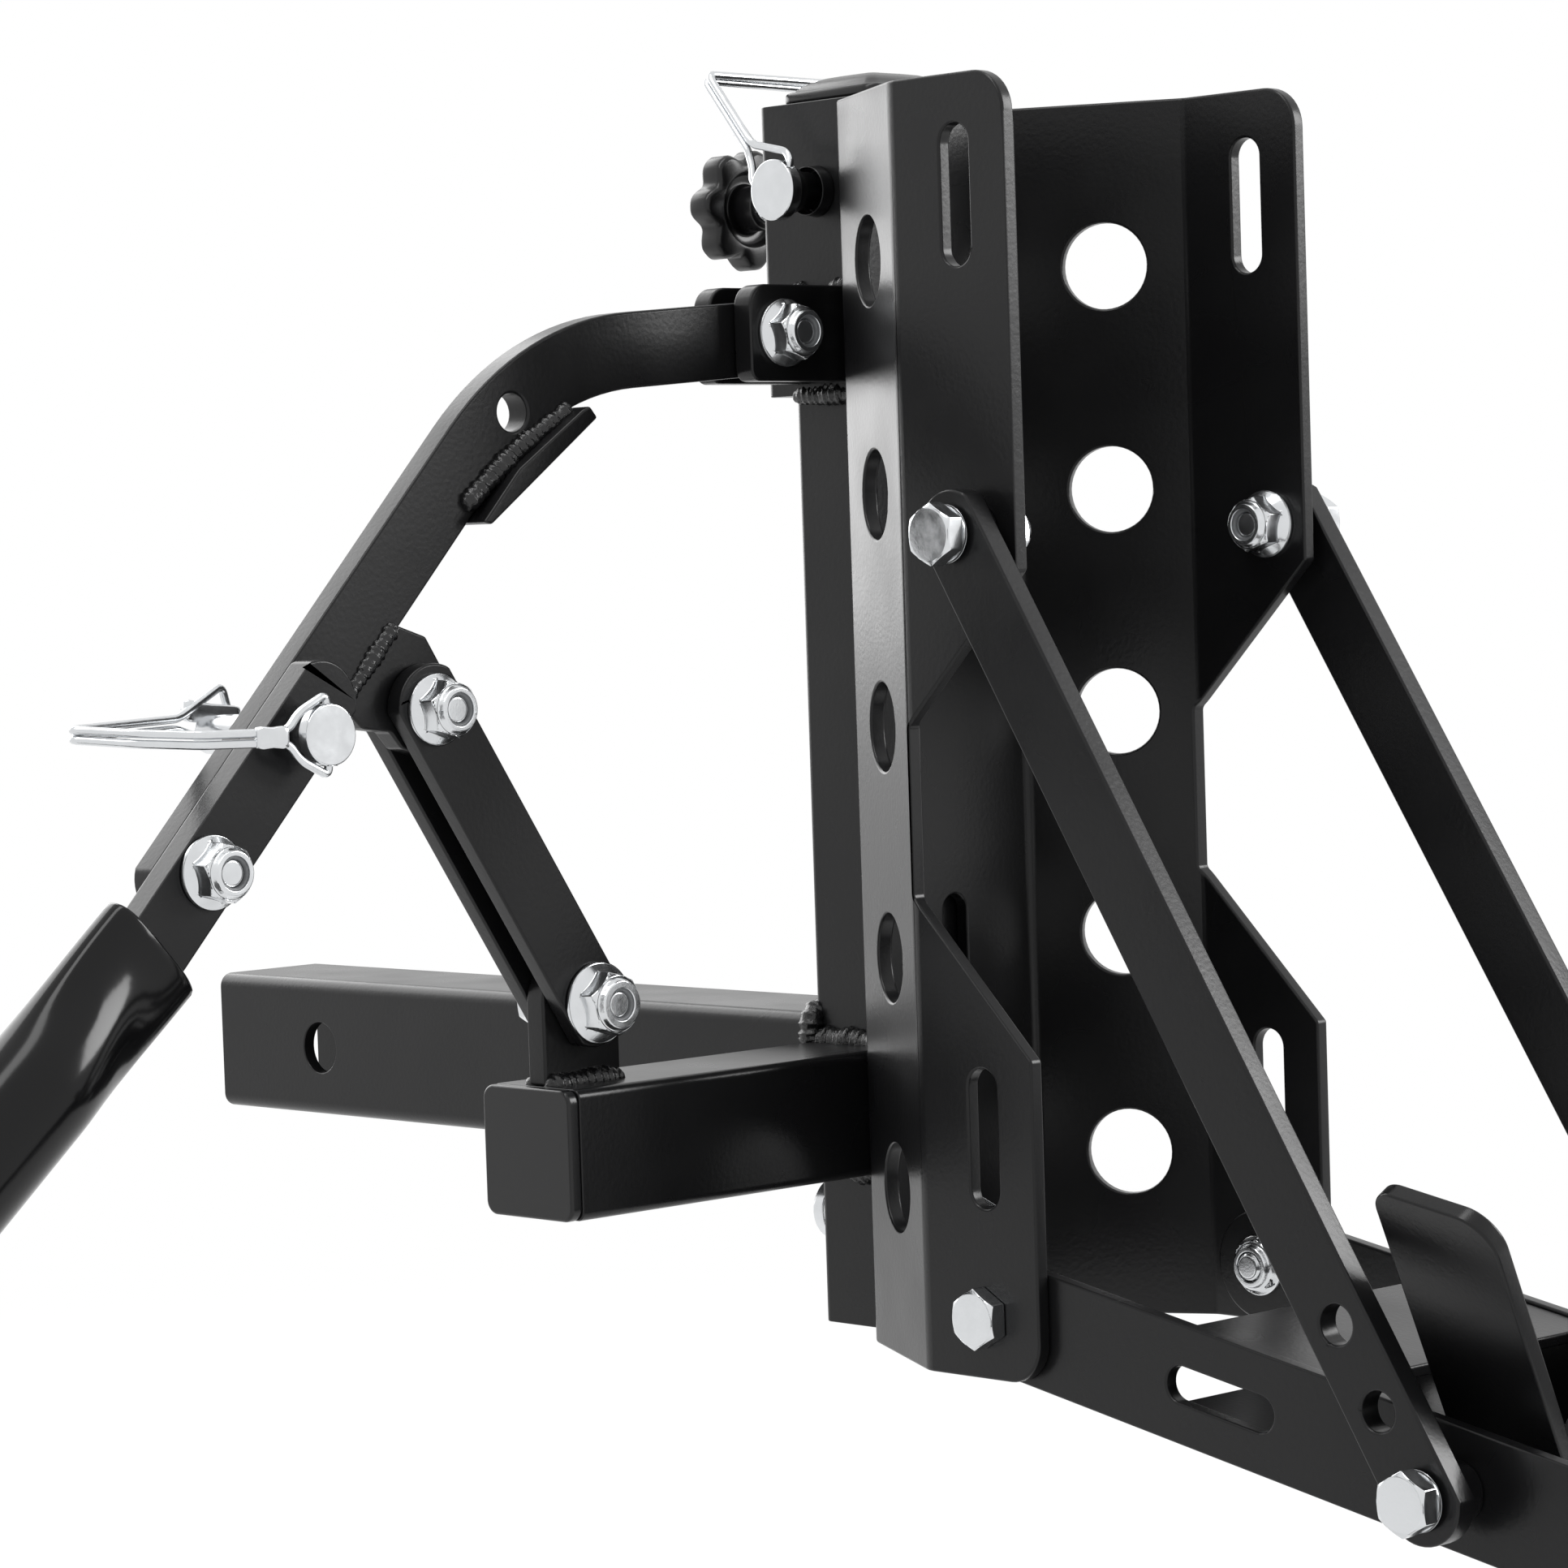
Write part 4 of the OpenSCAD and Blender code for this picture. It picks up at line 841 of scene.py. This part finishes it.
class CARRIER_OT_welds(bpy.types.Operator):
    """Rippled weld beads where the steel pieces are joined"""
    bl_idname = "carrier.welds"
    bl_label = "Weld beads"

    def execute(self, context):
        big = context.scene.carrier_sizes.bead_radius
        small = big * 0.62
        x, y, z = Vector((1, 0, 0)), Vector((0, 1, 0)), Vector((0, 0, 1))
        mast_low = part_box("mast_tube")[0]
        post_low, post_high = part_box("pivot_post")
        sleeve_low, sleeve_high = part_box("sleeve")
        back_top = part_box("cradle_back")[1].z

        hitch = bmesh.new()
        # Round the shank, half as wide and high as this, where it meets the mast
        half_wide, half_high, corner = 0.0222, 0.0254, 0.005
        weld_bead(hitch, square_loop((mast_low.x, 0, 0), y, z, half_wide, half_high, corner), x,
                  big * 1.2, True)
        # Round the square arm, where it meets the mast
        half, corner = 0.0205, 0.003
        weld_bead(hitch, square_loop((MAST, mast_low.y, middle("side_arm").z), x, z, half, half,
                                     corner), y, big * 1.25, True)
        # Along both sides of the foot of the post
        post_side = 0.0045
        for side in (-1, 1):
            at = MAST + side * post_side
            weld_bead(hitch, [(at, post_low.y, post_low.z), (at, post_high.y, post_low.z)], z,
                      big * 0.95)
        self.finish_body("hitch_welds", hitch, "hitch_frame")

        cradle = bmesh.new()
        # Up the corners between sleeve and back plate, and along the lower end of the sleeve
        for side in (-1, 1):
            corner = side * (sleeve_high.y + 0.0005)
            weld_bead(cradle, [(sleeve_high.x - 0.0015, corner, sleeve_low.z - 0.002),
                               (sleeve_high.x - 0.0015, corner, sleeve_low.z + 0.037)], x,
                      big * 1.35)
            weld_bead(cradle, [(sleeve_high.x - 0.0015, corner, sleeve_high.z - 0.028),
                               (sleeve_high.x - 0.0015, corner, back_top - 0.002)], x,
                      big * 0.7)
            weld_bead(cradle, [(sleeve_low.x + 0.012, side * 0.0250, sleeve_low.z),
                               (sleeve_high.x - 0.004, side * 0.0250, sleeve_low.z)], z,
                      big * 0.85)
            weld_bead(cradle, [(sleeve_high.x, side * 0.0245, sleeve_low.z),
                               (sleeve_high.x, side * 0.0040, sleeve_low.z)], z, big)
        # Down the side and along the top of each clevis plate, and round the knob's boss
        for plate in ("clevis_front", "clevis_rear"):
            low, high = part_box(plate)
            at = high.x if plate == "clevis_front" else low.x
            weld_bead(cradle, [(at, sleeve_low.y, low.z + 0.001), (at, sleeve_low.y, high.z)], x,
                      big * 0.55)
            weld_bead(cradle, [(low.x, sleeve_low.y, high.z), (high.x, sleeve_low.y, high.z)], z,
                      big * 0.75)
        weld_bead(cradle, circle_points((sleeve_low.x, 0, middle("knob_boss").z), y, z, 0.010),
                  x, small, True)
        # Tray, in mm along, across and over its middle line: cross plate and floor against the
        # side plates, then the feet of the wheel guides on the floor, and the end plate
        for side in (-1, 1):
            plate, guide = side * 59.6, side * 23.4
            for start, end, height in ((74, 133, 13), (149, 201, -13)):
                weld_bead(cradle, [self.tray(start, plate, height),
                                   self.tray(end, plate, height)], y, small)
            weld_bead(cradle, [self.tray(153.5, guide, -13), self.tray(195, guide, -13)], y,
                      small)
            weld_bead(cradle, [self.tray(312, plate, -15), self.tray(312, plate, 15)], y, small)
        self.finish_body("cradle_welds", cradle, "cradle")

        lever = bmesh.new()
        # On both faces of the lever, along the stop plate and then along the lug
        for side in (-1, 1):
            at = MAST + side * 0.0049
            weld_bead(lever, [(at, -0.1425, 0.2256), (at, -0.1655, 0.2120), (at, -0.1865, 0.1958)],
                      x, big * 0.9)
            at = MAST + side * 0.0043
            weld_bead(lever, [(at, -0.2150, 0.1610), (at, -0.2360, 0.1382)], x, big * 0.75)
        self.finish_body("lever_welds", lever, "lever")
        return {"FINISHED"}

    def tray(self, run, across, height):
        """A point of the wheel tray, given in mm along, across and over its middle line."""
        c, s = math.cos(TRAY_SLOPE), math.sin(TRAY_SLOPE)
        return Vector((TRAY_START_X + run * c + height * s, across,
                       TRAY_START_Z - run * s + height * c)) / 1000

    def finish_body(self, name, bm, body):
        """The beads of one body as one piece."""
        show(mesh_piece(name, bm), finish(powder_coated_weld), body)


class CARRIER_OT_stage(bpy.types.Operator):
    """Pale floor, white surroundings, soft light from the left, and the camera"""
    bl_idname = "carrier.stage"
    bl_label = "Studio and camera"

    def execute(self, context):
        self.floor(context)
        self.world(context)
        self.lamps(context)
        self.camera(context)
        context.scene.view_settings.view_transform = "Standard"
        return {"FINISHED"}

    def floor(self, context):
        """A round floor of 9 m radius that fades into the white around it."""
        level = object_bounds()[0][2] - context.scene.carrier_sizes.floor_drop
        bm = bmesh.new()
        bmesh.ops.create_circle(bm, cap_ends=True, radius=9, segments=96)
        floor = mesh_piece("studio_floor", bm, smooth=False)
        # Its middle, and so its darkest part, lies under the carrier
        floor.location = (0.3, -0.1, level)
        floor.data.materials.append(finish(matt_white_floor))
        floor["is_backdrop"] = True

    def world(self, context):
        """White to the eye and in reflections, softer as light on matt surfaces."""
        world = context.scene.world or bpy.data.worlds.new("studio")
        context.scene.world = world
        world.use_nodes = True
        tree = world.node_tree
        tree.nodes.clear()
        level = add_node(tree, "MapRange", {"Value": seen_directly(tree), "To Min": 0.5,
                                            "To Max": 1.0})
        sky = add_node(tree, "Background", {"Color": (1, 1, 1, 1),
                                            "Strength": level.outputs["Result"]})
        add_node(tree, "OutputWorld", {"Surface": sky.outputs["Background"]})

    def lamps(self, context):
        """A large soft lamp on the left, one above, and one behind on the right."""
        centre = Vector((0.33, -0.12, 0.10))
        # Name, place from the centre and size in metres, power in watts
        for name, place, size, power in (
                ("soft_lamp_left", (-1.7, 0.1, 0.75), (1.6, 1.6), 24),
                ("soft_lamp_top", (0.0, -0.65, 1.7), (0.45, 2.0), 15),
                ("soft_lamp_back", (1.25, 1.4, 0.72), (0.8, 0.8), 24)):
            lamp = bpy.data.lights.new(name, "AREA")
            lamp.shape = "RECTANGLE"
            lamp.size, lamp.size_y = size
            lamp.energy = power
            obj = bpy.data.objects.new(name, lamp)
            obj.location = centre + Vector(place)
            obj.rotation_euler = (-Vector(place)).to_track_quat("-Z", "Y").to_euler()
            context.collection.objects.link(obj)

    def camera(self, context):
        """The camera at the photograph's viewing angle."""
        view = context.scene.carrier_camera
        ahead = Vector((-math.sin(view.yaw) * math.cos(view.pitch),
                        math.cos(view.yaw) * math.cos(view.pitch), math.sin(view.pitch)))
        right = Vector((math.cos(view.yaw), math.sin(view.yaw), 0))
        up = right.cross(ahead)
        c, s = math.cos(view.roll), math.sin(view.roll)
        across, upward = right * c + up * s, up * c - right * s
        turn = Matrix((across, upward, -ahead)).transposed().to_4x4()
        data = bpy.data.cameras.new("studio_camera")
        data.sensor_width = 36
        data.lens = view.lens
        data.shift_x, data.shift_y = view.shift
        data.clip_start, data.clip_end = 0.05, 60
        camera = bpy.data.objects.new("studio_camera", data)
        camera.matrix_world = Matrix.Translation(view.place) @ turn
        context.collection.objects.link(camera)
        context.scene.camera = camera


STEPS = (CARRIER_OT_coated_steel, CARRIER_OT_handle, CARRIER_OT_fasteners, CARRIER_OT_bails,
         CARRIER_OT_mouldings, CARRIER_OT_welds, CARRIER_OT_stage)


class CARRIER_PT_pieces(bpy.types.Panel):
    """Lists the steps that build the shown carrier"""
    bl_idname = "CARRIER_PT_pieces"
    bl_label = "Wheel carrier"
    bl_space_type = "VIEW_3D"
    bl_region_type = "UI"
    bl_category = "Carrier"

    def draw(self, context):
        for step in STEPS:
            self.layout.operator(step.bl_idname)
        for group in (context.scene.carrier_sizes, context.scene.carrier_colours,
                      context.scene.carrier_camera):
            for key in group.__annotations__:
                self.layout.prop(group, key)


GROUPS = (CarrierSizes, CarrierColours, CarrierCamera)


def register():
    for cls in GROUPS + STEPS + (CARRIER_PT_pieces,):
        bpy.utils.register_class(cls)
    bpy.types.Scene.carrier_sizes = PointerProperty(type=CarrierSizes)
    bpy.types.Scene.carrier_colours = PointerProperty(type=CarrierColours)
    bpy.types.Scene.carrier_camera = PointerProperty(type=CarrierCamera)


def unregister():
    del bpy.types.Scene.carrier_sizes
    del bpy.types.Scene.carrier_colours
    del bpy.types.Scene.carrier_camera
    for cls in (CARRIER_PT_pieces,) + STEPS[::-1] + GROUPS[::-1]:
        bpy.utils.unregister_class(cls)


def main():
    register()
    for step in STEPS:
        area, _, name = step.bl_idname.partition(".")
        getattr(getattr(bpy.ops, area), name)()


if __name__ == "__main__":
    main()
